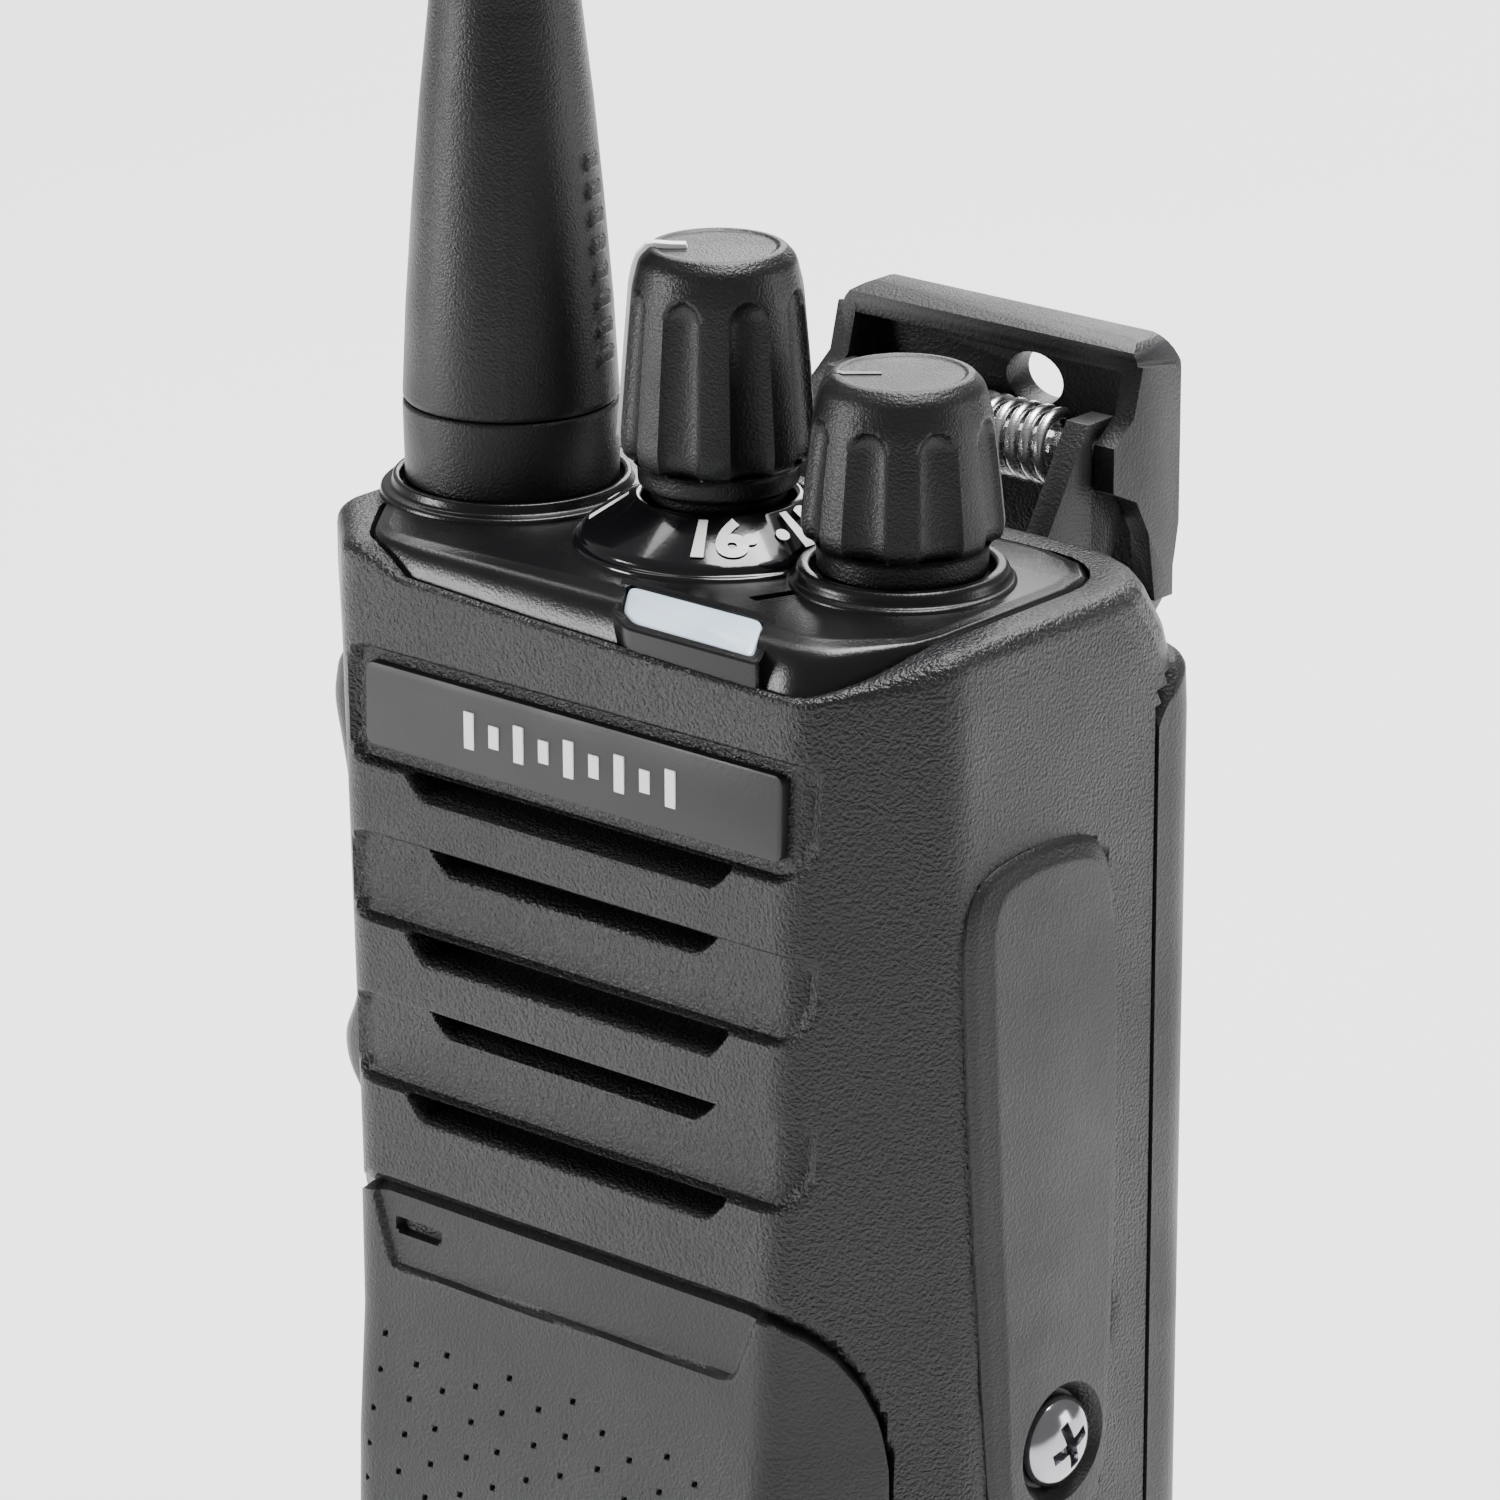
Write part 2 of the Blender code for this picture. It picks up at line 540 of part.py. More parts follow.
def deck():
    rings = [[(x, y, z) for x, y, _ in case_ring(CASE_TOP, DECK_INSET + inset)]
             for z, inset in ((DECK_Z[0], 0.0), (DECK_Z[1] - 0.6, 0.0), (DECK_Z[1], 0.6))]
    panel = loft("top_panel", rings, "deck")
    collar = tube("antenna_collar", COLLAR_RADII, "z", ANTENNA, DECK_Z[1] - 0.5, COLLAR_TOP, "deck", 32)
    ring = tube("volume_ring", RING_RADII, "z", VOLUME, DECK_Z[1] - 0.5, RING_TOP, "deck", 32)
    collar_base = rod("antenna_collar_base", COLLAR_RADII[1], "z", ANTENNA, DECK_Z[0], DECK_Z[1], "deck", 32)
    join(panel, collar_base, collar, ring)
    for name, centre, radius in (("antenna", ANTENNA, 6.4), ("channel", CHANNEL, 5.5), ("volume", VOLUME, 5.5)):
        cut(panel, rod(f"cut_deck_{name}", radius, "z", centre, 119, 126, "deck"))
    cut(panel, prism("cut_deck_lens", lens_outline(GAP), "z", 119, 126, "deck"))
    dial = turned("channel_dial", DIAL_PROFILE, "z", CHANNEL, "dial", 32)
    cut(dial, rod("cut_dial", RING_RADII[1] + GAP, "z", VOLUME, DECK_Z[1] - 1, CHANNEL_KNOB_Z + 4, "dial", 32))
    lens = [(x, y, z) for (x, y), z in zip(lens_outline(0.0), LENS_TOP_Z)]
    foot = [(x, y, LENS_FOOT_Z) for x, y in lens_outline(0.0)]
    loft("led_lens", [foot, lens], "lens")
    front = case_station(BADGE_Z[0])[0]
    badge_y = (front + 0.1, front + 0.7)
    badge_z = (BADGE_Z[0], BADGE_Z[1])
    box("badge_plate", (-BADGE_HALF, BADGE_HALF), badge_y, badge_z, "badge")


def knob_ring(centre, z, radius, depth):
    """A round section whose flutes are pressed in by the given depth."""
    count = KNOB_FLUTES * POINTS_PER_FLUTE
    ring = []
    for step in range(count):
        turn = 2 * math.pi * step / count
        inside = depth if step % POINTS_PER_FLUTE == 2 else 0.0
        distance = radius - inside
        ring.append((centre[0] + distance * math.cos(turn), centre[1] + distance * math.sin(turn), z))
    return ring


def knob(name, centre, base_z, profile, shaft_top):
    """A fluted cap whose bore takes the shaft, from the bore's end round to the top."""
    pivot = (*centre, base_z)
    rings = [knob_ring(centre, shaft_top + GAP, BORE_RADIUS, 0.0), knob_ring(centre, base_z, BORE_RADIUS, 0.0)]
    for radius, height, flute_depth in profile:
        rings.append(knob_ring(centre, base_z + height, radius, flute_depth))
    return loft(name, rings, "rubber", pivot)


def pointer_outline(grow):
    """The pointer's side view: over the knob's shoulder and down its left side."""
    outer = [(CHANNEL[0] - distance, CHANNEL_KNOB_Z + height) for distance, height in POINTER_LINE]
    inner = [(x + POINTER_DEPTH + grow, z - POINTER_DEPTH - grow) for x, z in outer[:4]]
    foot = (outer[4][0] + POINTER_DEPTH + grow, outer[4][1] - grow)
    head = (outer[0][0] + grow + 0.6, outer[0][1] + grow)
    return [(head[0], head[1]), *[(x - 2 * grow, z + grow) for x, z in outer[:4]],
            (outer[4][0] - 2 * grow, outer[4][1] - grow), foot, *inner[:0:-1], (head[0], inner[0][1])]


def controls():
    channel_knob = knob("channel_knob", CHANNEL, CHANNEL_KNOB_Z, CHANNEL_KNOB, CHANNEL_SHAFT_Z[1])
    width = (CHANNEL[1] - POINTER_HALF_WIDTH, CHANNEL[1] + POINTER_HALF_WIDTH)
    pivot = (*CHANNEL, CHANNEL_KNOB_Z)
    pointer = prism("channel_pointer", pointer_outline(0.0), "y", *width, "pointer", pivot)
    groove = prism("cut_pointer", pointer_outline(GAP), "y", width[0] - GAP, width[1] + GAP, "rubber", pivot)
    cut(channel_knob, groove)
    volume_knob = knob("volume_knob", VOLUME, VOLUME_KNOB_Z, VOLUME_KNOB, VOLUME_SHAFT_Z[1])
    mark_x, mark_y, mark_z = [(start + low, start + high) for start, (low, high)
                              in zip((*VOLUME, VOLUME_KNOB_Z), VOLUME_MARK)]
    mark = box("cut_volume_mark", mark_x, mark_y, mark_z, "rubber", (*VOLUME, VOLUME_KNOB_Z))
    cut(volume_knob, mark)
    for turning in (channel_knob, pointer, groove, volume_knob, mark):
        turning.rotation_euler.z = POINTER_TURN
    sides = KNOB_FLUTES * POINTS_PER_FLUTE
    for name, centre, reach, body in (("channel", CHANNEL, CHANNEL_SHAFT_Z, "channel_switch"),
                                      ("volume", VOLUME, VOLUME_SHAFT_Z, "volume_pot")):
        pivot = (*centre, CHANNEL_KNOB_Z if name == "channel" else VOLUME_KNOB_Z)
        shaft = rod(f"{name}_shaft", SHAFT_RADIUS, "z", centre, *reach, "steel", sides, pivot)
        shaft.rotation_euler.z = POINTER_TURN
        half = BODY_HALF[name]
        x, y = (centre[0] - half, centre[0] + half), (centre[1] - half, centre[1] + half)
        switch = box(body, x, y, SWITCH_BODY_Z, "inner_plastic")
        join(switch, rod(f"{body}_bushing", BUSHING_RADIUS, "z", centre, 116.0, BUSHING_TOP, "steel", sides))
        cut(switch, rod(f"cut_{body}", BORE_RADIUS, "z", centre, reach[0] - GAP, 123, "steel", sides))
        tube(f"{name}_nut", NUT_RADII, "z", centre, *NUT_Z, "brass", 6 * 4)


def antenna():
    tube("antenna_jack", JACK_RADII, "z", ANTENNA, *JACK_Z, "brass", 24)
    tube("antenna_nut", NUT_RADII, "z", ANTENNA, *NUT_Z, "brass", 24)
    tube("antenna_o_ring", O_RING_RADII, "z", ANTENNA, *O_RING_Z, "rubber", 24)
    turned("antenna_plug", PLUG, "z", ANTENNA, "brass", 24, solid=True)
    turned("antenna_sleeve", SLEEVE, "z", ANTENNA, "rubber", 32)
    bore = [(WHIP_BORE[0], WHIP_BORE[1]), (WHIP_BORE[0], WHIP[0][1])]
    turned("antenna_whip", bore + WHIP, "z", ANTENNA, "rubber", 28, solid=True)
    rod("antenna_core", CORE_RADIUS, "z", ANTENNA, CORE_FOOT_Z, WHIP_BORE[1] - GAP, "steel", 12)


def speaker_and_mic():
    centre = (0.0, SPEAKER_Z)
    rod("speaker_cloth", CLOTH_RADIUS, "y", centre, *CLOTH_Y, "cone", 32)
    turned("speaker_frame", SPEAKER_FRAME, "y", centre, "steel", 28)
    turned("speaker_cone", SPEAKER_CONE, "y", centre, "cone", 28)
    rod("speaker_magnet", MAGNET_RADIUS, "y", centre, *MAGNET_Y, "steel", 24)
    turned("mic_boot", MIC_BOOT, "y", MIC, "rubber", 16)
    rod("mic_capsule", MIC_CAPSULE_RADIUS, "y", MIC, *MIC_CAPSULE_Y, "steel", 16)


def inside():
    box("main_board", *MAIN_BOARD, "board")
    shield = box("rf_shield", *SHIELD, "steel")
    cut(shield, box("cut_shield", *SHIELD_ROOM, "steel"))
    low, high = CHASSIS_Z
    outer = [(-CHASSIS_HALF, low), (CHASSIS_HALF, low), (CHASSIS_HALF, high), (-CHASSIS_HALF, high)]
    gasket = prism("case_gasket", outer, "y", *GASKET_Y, "rubber")
    gasket_room = (-CHASSIS_HALF + GASKET_WIDTH, CHASSIS_HALF - GASKET_WIDTH)
    cut(gasket, box("cut_gasket", gasket_room, (-2, 2), (low + GASKET_WIDTH, high - GASKET_WIDTH), "rubber"))
    chassis = prism("rear_chassis", outer, "y", *CHASSIS_Y, "aluminium")
    for number, place in enumerate(screw_places(), 1):
        cut(chassis, rod(f"cut_chassis_{number}", SCREW_HOLE, "y", place, -1, 4, "aluminium", 12))
        cut(chassis, rod(f"cut_head_{number}", SCREW_SEAT, "y", place, SCREW_SEAT_Y, 4, "aluminium", 16))
        turned(f"chassis_screw_{number}", CHASSIS_SCREW, "y", place, "steel", 12, solid=True)
    window_z = (TERMINALS_Z[0] - GAP, TERMINALS_Z[1] + GAP)
    window_x = (-TERMINALS_HALF - GAP, TERMINALS_HALF + GAP)
    cut(chassis, box("cut_terminals", window_x, (-1, 4), window_z, "aluminium"))
    box("radio_terminals", (-TERMINALS_HALF, TERMINALS_HALF), RADIO_TERMINALS_Y, TERMINALS_Z, "gold")
    box("side_switch_board", *SIDE_BOARD, "board")
    for name, low, high in [("ptt", *PTT_Z)] + SIDE_KEYS:
        middle = (low + high) / 2
        box(f"{name}_switch", SWITCH_X, RIB_Y, (middle - SWITCH_HALF, middle + SWITCH_HALF), "inner_plastic")
    box("accessory_jack", *ACCESSORY_JACK, "gold")


def side_keys():
    face = [(x, z) for z, x in PTT_FACE]
    outline = face + [(PTT_INSIDE, PTT_Z[1]), (PTT_INSIDE, PTT_Z[0])]
    bar = prism("ptt_button", outline, "y", KEY_FRONT, KEY_REAR, "rubber")
    middle = sum(PTT_Z) / 2
    rib_z = (middle - RIB_HALF, middle + RIB_HALF)
    join(bar, box("ptt_rib", (PTT_INSIDE - 0.3, RIB_END), RIB_Y, rib_z, "rubber"))
    for name, low, high in SIDE_KEYS:
        middle = (low + high) / 2
        x = (SIDE_KEY_FACE, SIDE_KEY_INSIDE)
        key = box(name, x, (KEY_FRONT + 1.6, KEY_REAR - 1.6), (low, high), "rubber")
        rib_z = (middle - RIB_HALF, middle + RIB_HALF)
        rib = box(f"{name}_rib", (SIDE_KEY_INSIDE - 0.3, RIB_END), RIB_Y, rib_z, "rubber")
        join(key, rib)


def accessory_cover():
    cover = prism("accessory_cover", COVER_OUTLINE, "x", *COVER_X, "case")
    cut(cover, rod("cut_cover_hole", COVER_HOLE, "x", SCREW_YZ, 25, 29, "case", 12))
    cut(cover, rod("cut_cover_dish", COVER_DISH, "x", SCREW_YZ, 27.3, 29, "case", 24))
    screw = turned("accessory_screw", COVER_SCREW, "x", SCREW_YZ, "chrome", 20, solid=True)
    y, z = SCREW_YZ
    cut(screw, box("cut_cross_1", (28.1, 30), (y - 0.35, y + 0.35), (z - 1.6, z + 1.6), "chrome"))
    cut(screw, box("cut_cross_2", (28.05, 30), (y - 1.6, y + 1.6), (z - 0.35, z + 0.35), "chrome"))


def battery():
    slab = BATTERY_REAR
    outline = [(-NECK_HALF, LID_Y[1] + GAP), (NECK_HALF, LID_Y[1] + GAP), (NECK_HALF, SEAM_Y), (27.0, SEAM_Y),
               (27.0, slab - 3.0), (26.1, slab - 0.9), (24.0, slab), (-24.0, slab), (-26.1, slab - 0.9),
               (-27.0, slab - 3.0), (-27.0, SEAM_Y), (-NECK_HALF, SEAM_Y)]
    case = prism("battery_case", outline, "z", *BATTERY_Z, "case")
    for name, z in (("low", (0.0, NECK_Z[0])), ("high", (NECK_Z[1], 120.0))):
        cut(case, box(f"cut_neck_{name}", (-30, 30), (0, SEAM_Y), z, "case"))
    cut(case, box("cut_cells", *CELL_BAY, "case"))
    pocket_x = (-LATCH_HALF - 0.4, LATCH_HALF + 0.4)
    cut(case, box("cut_latch_pocket", pocket_x, (12.3, 18), (0, LATCH_POCKET_TOP), "case"))
    lid = box("battery_lid", (-NECK_HALF, NECK_HALF), LID_Y, NECK_Z, "case")
    window_x = (-TERMINALS_HALF - GAP, TERMINALS_HALF + GAP)
    window_z = (TERMINALS_Z[0] - GAP, TERMINALS_Z[1] + GAP)
    cut(lid, box("cut_lid_contacts", window_x, (0, 6), window_z, "case"))
    box("battery_contacts", (-TERMINALS_HALF, TERMINALS_HALF), BATTERY_CONTACTS_Y, TERMINALS_Z, "gold")
    for name, low, high in CELLS:
        cell = box(name, (-CELL_HALF, CELL_HALF), CELL_Y, (low, high), "cell")
        round_off = cell.modifiers.new("rounded", "BEVEL")
        round_off.width = CELL_ROUNDING * MM
        round_off.segments = 1
    box("battery_board", *BATTERY_BOARD, "board")
    prism("battery_latch", LATCH_OUTLINE, "x", -LATCH_HALF, LATCH_HALF, "rubber", LATCH_PIVOT)
    tube("latch_spring", LATCH_SPRING_RADII, "z", LATCH_SPRING_XY, *LATCH_SPRING_Z, "steel", 12)


def belt_clip():
    plate = box("clip_bracket", (-CHEEK_X[1], CHEEK_X[1]), PLATE_Y, PLATE_Z, "case")
    pin_centre = (HINGE_Y, HINGE_Z)
    for number, side in enumerate((-1, 1), 1):
        low, high = sorted((side * CHEEK_X[0], side * CHEEK_X[1]))
        join(plate, prism(f"clip_cheek_{number}", CHEEK_OUTLINE, "x", low - 0.001, high + 0.001, "case"))
    cut(plate, rod("cut_cheek_holes", PIN_HOLE, "x", pin_centre, -15, 15, "case", 16))
    rod("clip_pin", PIN_RADIUS, "x", pin_centre, -PIN_HALF, PIN_HALF, "steel", 16)
    tube("clip_spring", CLIP_SPRING_RADII, "x", pin_centre, -CLIP_SPRING_HALF, CLIP_SPRING_HALF, "steel", 16)
    pivot = (0.0, HINGE_Y, HINGE_Z)
    lever = prism("clip_lever", LEVER_OUTLINE, "x", -LEVER_HALF, LEVER_HALF, "case", pivot)
    for number, side in enumerate((-1, 1), 1):
        low, high = sorted((side * ARM_X[0], side * (ARM_X[1] - 0.001)))
        join(lever, prism(f"clip_ear_{number}", EAR_OUTLINE, "x", low, high, "case"))
    cut(lever, rod("cut_ear_holes", PIN_HOLE, "x", pin_centre, -15, 15, "case", 16))
    x, z, half_width, half_height = LEVER_HOLE
    hole = [(x + half_width * math.cos(turn), z + half_height * math.sin(turn))
            for turn in (2 * math.pi * step / 12 for step in range(12))]
    cut(lever, prism("cut_lever_hole", hole, "y", 25, 36, "case"))
    for number, side in enumerate((-1, 1), 1):
        low, high = sorted((side * TONGUE_HALF, side * 15.0))
        cut(lever, box(f"cut_tongue_{number}", (low, high), (20, 36), (60, TONGUE_TOP), "case"))


def build():
    clear_scene()
    front_case()
    lower_front_panel()
    deck()
    controls()
    antenna()
    speaker_and_mic()
    inside()
    side_keys()
    accessory_cover()
    battery()
    belt_clip()


build()
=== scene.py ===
import math

import bmesh
import bpy
import numpy as np
from mathutils import Matrix, Vector


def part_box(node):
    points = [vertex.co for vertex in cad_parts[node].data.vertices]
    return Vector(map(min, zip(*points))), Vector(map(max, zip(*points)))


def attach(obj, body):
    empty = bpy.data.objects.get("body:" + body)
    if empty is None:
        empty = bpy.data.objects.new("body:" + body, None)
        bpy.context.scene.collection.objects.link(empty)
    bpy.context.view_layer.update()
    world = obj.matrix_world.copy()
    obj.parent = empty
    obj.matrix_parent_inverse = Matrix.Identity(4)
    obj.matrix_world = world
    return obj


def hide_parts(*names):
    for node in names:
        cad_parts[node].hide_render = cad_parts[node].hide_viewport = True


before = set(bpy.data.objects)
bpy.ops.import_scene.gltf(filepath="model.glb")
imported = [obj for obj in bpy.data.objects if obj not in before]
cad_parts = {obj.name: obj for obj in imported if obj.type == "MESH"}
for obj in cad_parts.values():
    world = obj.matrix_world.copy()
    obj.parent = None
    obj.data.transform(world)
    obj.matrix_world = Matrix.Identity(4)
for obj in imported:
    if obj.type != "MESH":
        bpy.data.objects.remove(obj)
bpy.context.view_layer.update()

MM = 0.001

# Case section in millimetres: (height, front y, half width of the flat front, side-start y, rear y,
# corner radius, half width).
STATIONS = np.array([
    (0.0, -16.8, 17.4, -7.0, 16.1, 3.0, 26.2),
    (1.0, -17.8, 17.8, -6.7, 16.9, 3.2, 27.0),
    (10.0, -18.9, 18.0, -6.7, 17.0, 3.5, 27.0),
    (45.0, -19.2, 18.0, -6.7, 17.0, 3.5, 27.0),
    (59.0, -18.7, 18.0, -6.7, 17.0, 3.5, 27.0),
    (68.0, -17.8, 18.1, -6.8, 17.0, 3.5, 27.0),
    (79.0, -17.43, 18.4, -7.3, 17.0, 3.5, 27.0),
    (113.0, -16.55, 19.8, -9.2, 17.0, 4.5, 27.0),
    (118.6, -16.4, 20.0, -9.5, 16.6, 7.0, 27.0),
    (123.0, -16.3, 20.0, -9.6, 15.0, 9.2, 26.9),
])
CORNER = 1.5
SEGMENT_COLUMNS = (86, 6, 22, 5, 16, 6, 4)

# Rim of the case: across the front it drops, and it rises along the right slanted face.
RIM_S = (-30.0, -19.0, -17.0, -15.0, -4.0, 18.0, 20.0, 23.5, 30.0)
RIM_Z = (122.7, 122.6, 122.0, 121.1, 120.6, 120.0, 120.1, 120.9, 122.7)
LAND_S = (-30.0, -20.0, -15.0, 18.0, 22.0, 30.0)
LAND_WIDTH = (3.0, 1.8, 0.7, 0.7, 1.2, 3.0)
DECK_S = (-30.0, -17.0, 0.0, 20.0, 30.0)
DECK_EDGE = (3.6, 2.6, 3.6, 3.6, 3.6)
DECK_Z = 123.0

# Front pockets (low z, high z) and slots (z at the wide edge, z at the narrow edge, half widths).
POCKETS = ((107.6, 115.9), (96.5, 102.8), (84.9, 91.3))
POCKET_LEFT = -19.5
POCKET_RIGHT = 21.2
POCKET_DEPTH = 0.75
SLOTS = ((107.7, 105.8, 14.3, 12.6), (102.7, 100.7, 12.8, 10.9), (96.5, 94.3, 14.3, 12.6),
         (91.2, 89.2, 12.8, 10.9), (84.9, 82.9, 14.3, 12.6))
SLOT_DEPTH = 3.0

COVER_OUTER = ((-5.3, 58.4), (5.4, 58.4), (6.3, 62.0), (6.8, 69.6), (7.2, 80.4), (7.1, 94.8), (6.6, 103.6),
               (5.6, 106.2), (3.9, 107.5), (-1.4, 108.0), (-5.8, 107.6), (-7.8, 106.3), (-8.5, 104.0),
               (-8.4, 99.4), (-7.6, 85.3), (-6.4, 70.6))
COVER_INNER = ((-4.3, 59.4), (4.7, 59.3), (5.6, 62.2), (6.1, 69.6), (6.5, 80.4), (6.4, 94.8), (5.8, 102.6),
               (4.8, 105.0), (3.2, 106.2), (-1.4, 106.7), (-4.9, 106.3), (-6.1, 105.3), (-6.6, 103.5),
               (-6.45, 99.4), (-5.7, 85.3), (-4.6, 70.6))
# Share of the way from the outer to the inner outline, and x.
COVER_STEPS = ((0.12, 27.3), (0.4, 27.5), (0.75, 27.72), (0.92, 27.84), (1.0, 27.9), (1.12, 27.92))
SCREW = (1.15, 65.0)

# Lower panel edge.
PANEL_BOTTOM = 3.0
PANEL_TOP_S = (0.0, 16.0, 18.5, 20.5, 22.5, 24.3, 25.6, 26.4, 26.8)
PANEL_TOP_Z = (77.7, 77.7, 77.3, 76.4, 74.9, 72.6, 70.0, 66.5, 62.0)
PANEL_HALF = 27.0
PANEL_THICK = 1.4
PANEL_INSET = ((-17.9, 78.5), (-15.5, 71.8), (15.2, 72.3), (17.6, 78.5))
PERFORATED = ((-19, 8), (19, 8), (19, 60), (14.5, 66.9), (-19, 68.5))
MIC_SLOT, MIC_SLOT_HALF = (-13.4, 75.0), 1.5

BATTERY_SEAM_Y = 11.65
BATTERY_BOTTOM = 3.7
BATTERY_TOP_Y = (11.6, 12.3, 13.5, 15.0, 17.0)
BATTERY_TOP_Z = (113.2, 114.4, 115.4, 116.3, 116.8)

KEY_Y = (-8.4, 4.4)
PTT_Z = (78.4, 112.2)
PTT_FACE_Z = (78.4, 80.0, 82.4, 85.6, 91.0, 97.5, 103.0, 107.4, 110.4, 112.2)
PTT_FACE_X = (27.5, 29.7, 30.3, 28.5, 27.7, 27.8, 29.3, 30.5, 29.8, 27.5)
SIDE_KEYS = {"side_key_1": (69.0, 76.0), "side_key_2": (60.0, 67.0)}
SIDE_KEY_FACE_X = 27.75

ANTENNA = (-18.86, -0.65)
VOLUME = (14.54, 0.32)
POINTER_BEARING = math.radians(-141.0)
NUMERAL_STEP = math.radians(18.0)


def axis_of(node):
    """Middle of a CAD node seen from above, in millimetres."""
    low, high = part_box(node)
    return ((low.x + high.x) / 2 / MM, (low.y + high.y) / 2 / MM)


CHANNEL = axis_of("channel_shaft")


# ---------------------------------------------------------------- materials

class Graph:
    """A small helper that adds and links shader nodes."""

    def __init__(self, name):
        self.material = bpy.data.materials.new(name)
        self.material.use_nodes = True
        self.tree = self.material.node_tree
        self.shader = self.tree.nodes["Principled BSDF"]

    def add(self, kind, **inputs):
        node = self.tree.nodes.new(kind)
        for key, value in inputs.items():
            self.put(node, key.replace("_", " "), value)
        return node

    def put(self, node, socket, value):
        if isinstance(value, bpy.types.NodeSocket):
            self.tree.links.new(value, node.inputs[socket])
        else:
            node.inputs[socket].default_value = value

    def noise(self, scale, detail=3.0, roughness=0.55, vector=None):
        node = self.add("ShaderNodeTexNoise", Scale=scale, Detail=detail, Roughness=roughness)
        self.put(node, "Vector", vector or self.coordinates())
        return node.outputs["Fac"]

    def coordinates(self):
        if not hasattr(self, "place"):
            self.place = self.add("ShaderNodeTexCoord").outputs["Object"]
        return self.place

    def spread(self, value, from_low, from_high, low, high):
        node = self.add("ShaderNodeMapRange")
        for key, amount in (("Value", value), ("From Min", from_low), ("From Max", from_high),
                            ("To Min", low), ("To Max", high)):
            self.put(node, key, amount)
        return node.outputs["Result"]

    def mixed(self, share, first, second):
        node = self.tree.nodes.new("ShaderNodeMix")
        node.data_type = "RGBA"
        self.put(node, 0, share)
        self.put(node, 6, first)
        self.put(node, 7, second)
        return node.outputs[2]

    def bump(self, height, distance, strength=1.0):
        node = self.add("ShaderNodeBump", Strength=strength, Distance=distance, Height=height)
        return node.outputs["Normal"]


def rgba(colour):
    return (*colour, 1.0)


def moulded(name, colour, worn, roughness, grain, depth, wear=0.5, spread=0.08, coat=0.0):
    """Moulded plastic or rubber: grain of the given scale, uneven sheen, rubbed edges and faint dust."""
    graph = Graph(name)
    broad = graph.noise(90.0, 5.0)
    fine = graph.noise(grain, 2.0, 0.5)
    patches = graph.spread(broad, 0.35, 0.65, 0.0, 0.35)
    lighter = tuple(min(1.0, part * 1.5 + 0.002) for part in colour)
    base = graph.mixed(patches, rgba(colour), rgba(lighter))
    pointy = graph.add("ShaderNodeNewGeometry").outputs["Pointiness"]
    edges = graph.spread(pointy, 0.53, 0.62, 0.0, wear)
    rubbed = graph.mixed(edges, base, rgba(worn))
    graph.put(graph.shader, "Base Color", rubbed)
    sheen = graph.spread(broad, 0.3, 0.7, roughness - spread, roughness + spread)
    graph.put(graph.shader, "Roughness", sheen)
    graph.put(graph.shader, "Coat Weight", coat)
    graph.put(graph.shader, "Specular IOR Level", 0.36)
    graph.put(graph.shader, "Normal", graph.bump(fine, depth))
    return graph.material


def machined(name, colour, roughness, streak=(1.0, 1.0, 25.0), depth=0.00002):
    """Metal with fine directional marks and small stains."""
    graph = Graph(name)
    stretch = graph.add("ShaderNodeMapping", Vector=graph.coordinates(), Scale=streak)
    marks = graph.noise(900.0, 4.0, 0.6, stretch.outputs["Vector"])
    stains = graph.noise(220.0, 5.0)
    darker = tuple(part * 0.6 for part in colour)
    graph.put(graph.shader, "Base Color", graph.mixed(graph.spread(stains, 0.4, 0.75, 0.0, 0.5),
                                                      rgba(colour), rgba(darker)))
    graph.put(graph.shader, "Roughness", graph.spread(marks, 0.3, 0.7, roughness * 0.7, roughness * 1.4))
    graph.put(graph.shader, "Metallic", 1.0)
    graph.put(graph.shader, "Normal", graph.bump(marks, depth, 0.5))
    return graph.material


def lens_material():
    """Milky pale blue plastic."""
    graph = Graph("lens_look")
    cloud = graph.noise(160.0, 3.0)
    graph.put(graph.shader, "Base Color", graph.mixed(graph.spread(cloud, 0.3, 0.7, 0.0, 1.0),
                                                      (0.48, 0.60, 0.72, 1.0), (0.66, 0.76, 0.86, 1.0)))
    graph.put(graph.shader, "Roughness", graph.spread(cloud, 0.3, 0.7, 0.28, 0.42))
    graph.put(graph.shader, "Subsurface Weight", 0.35)
    graph.put(graph.shader, "Subsurface Scale", 0.002)
    graph.put(graph.shader, "Coat Weight", 0.4)
    graph.put(graph.shader, "Normal", graph.bump(graph.noise(2600.0), 0.00001))
    return graph.material


def paint_material():
    """White paint with a fine mottle."""
    graph = Graph("paint_look")
    fine = graph.noise(3500.0, 2.0)
    graph.put(graph.shader, "Base Color", graph.mixed(graph.spread(fine, 0.3, 0.7, 0.0, 0.4),
                                                      (0.86, 0.86, 0.84, 1.0), (0.72, 0.72, 0.70, 1.0)))
    graph.put(graph.shader, "Roughness", graph.spread(fine, 0.3, 0.7, 0.35, 0.5))
    graph.put(graph.shader, "Normal", graph.bump(fine, 0.00001))
    return graph.material


def board_material():
    """Solder mask over a faint pattern of tracks."""
    graph = Graph("board_look")
    tracks = graph.add("ShaderNodeTexVoronoi", Scale=420.0, Vector=graph.coordinates())
    line = graph.spread(tracks.outputs["Distance"], 0.1, 0.25, 1.0, 0.0)
    mask, copper = (0.015, 0.13, 0.05, 1.0), (0.04, 0.26, 0.11, 1.0)
    graph.put(graph.shader, "Base Color", graph.mixed(line, mask, copper))
    graph.put(graph.shader, "Roughness", graph.spread(graph.noise(500.0), 0.3, 0.7, 0.35, 0.55))
    graph.put(graph.shader, "Normal", graph.bump(line, 0.00003))
    return graph.material


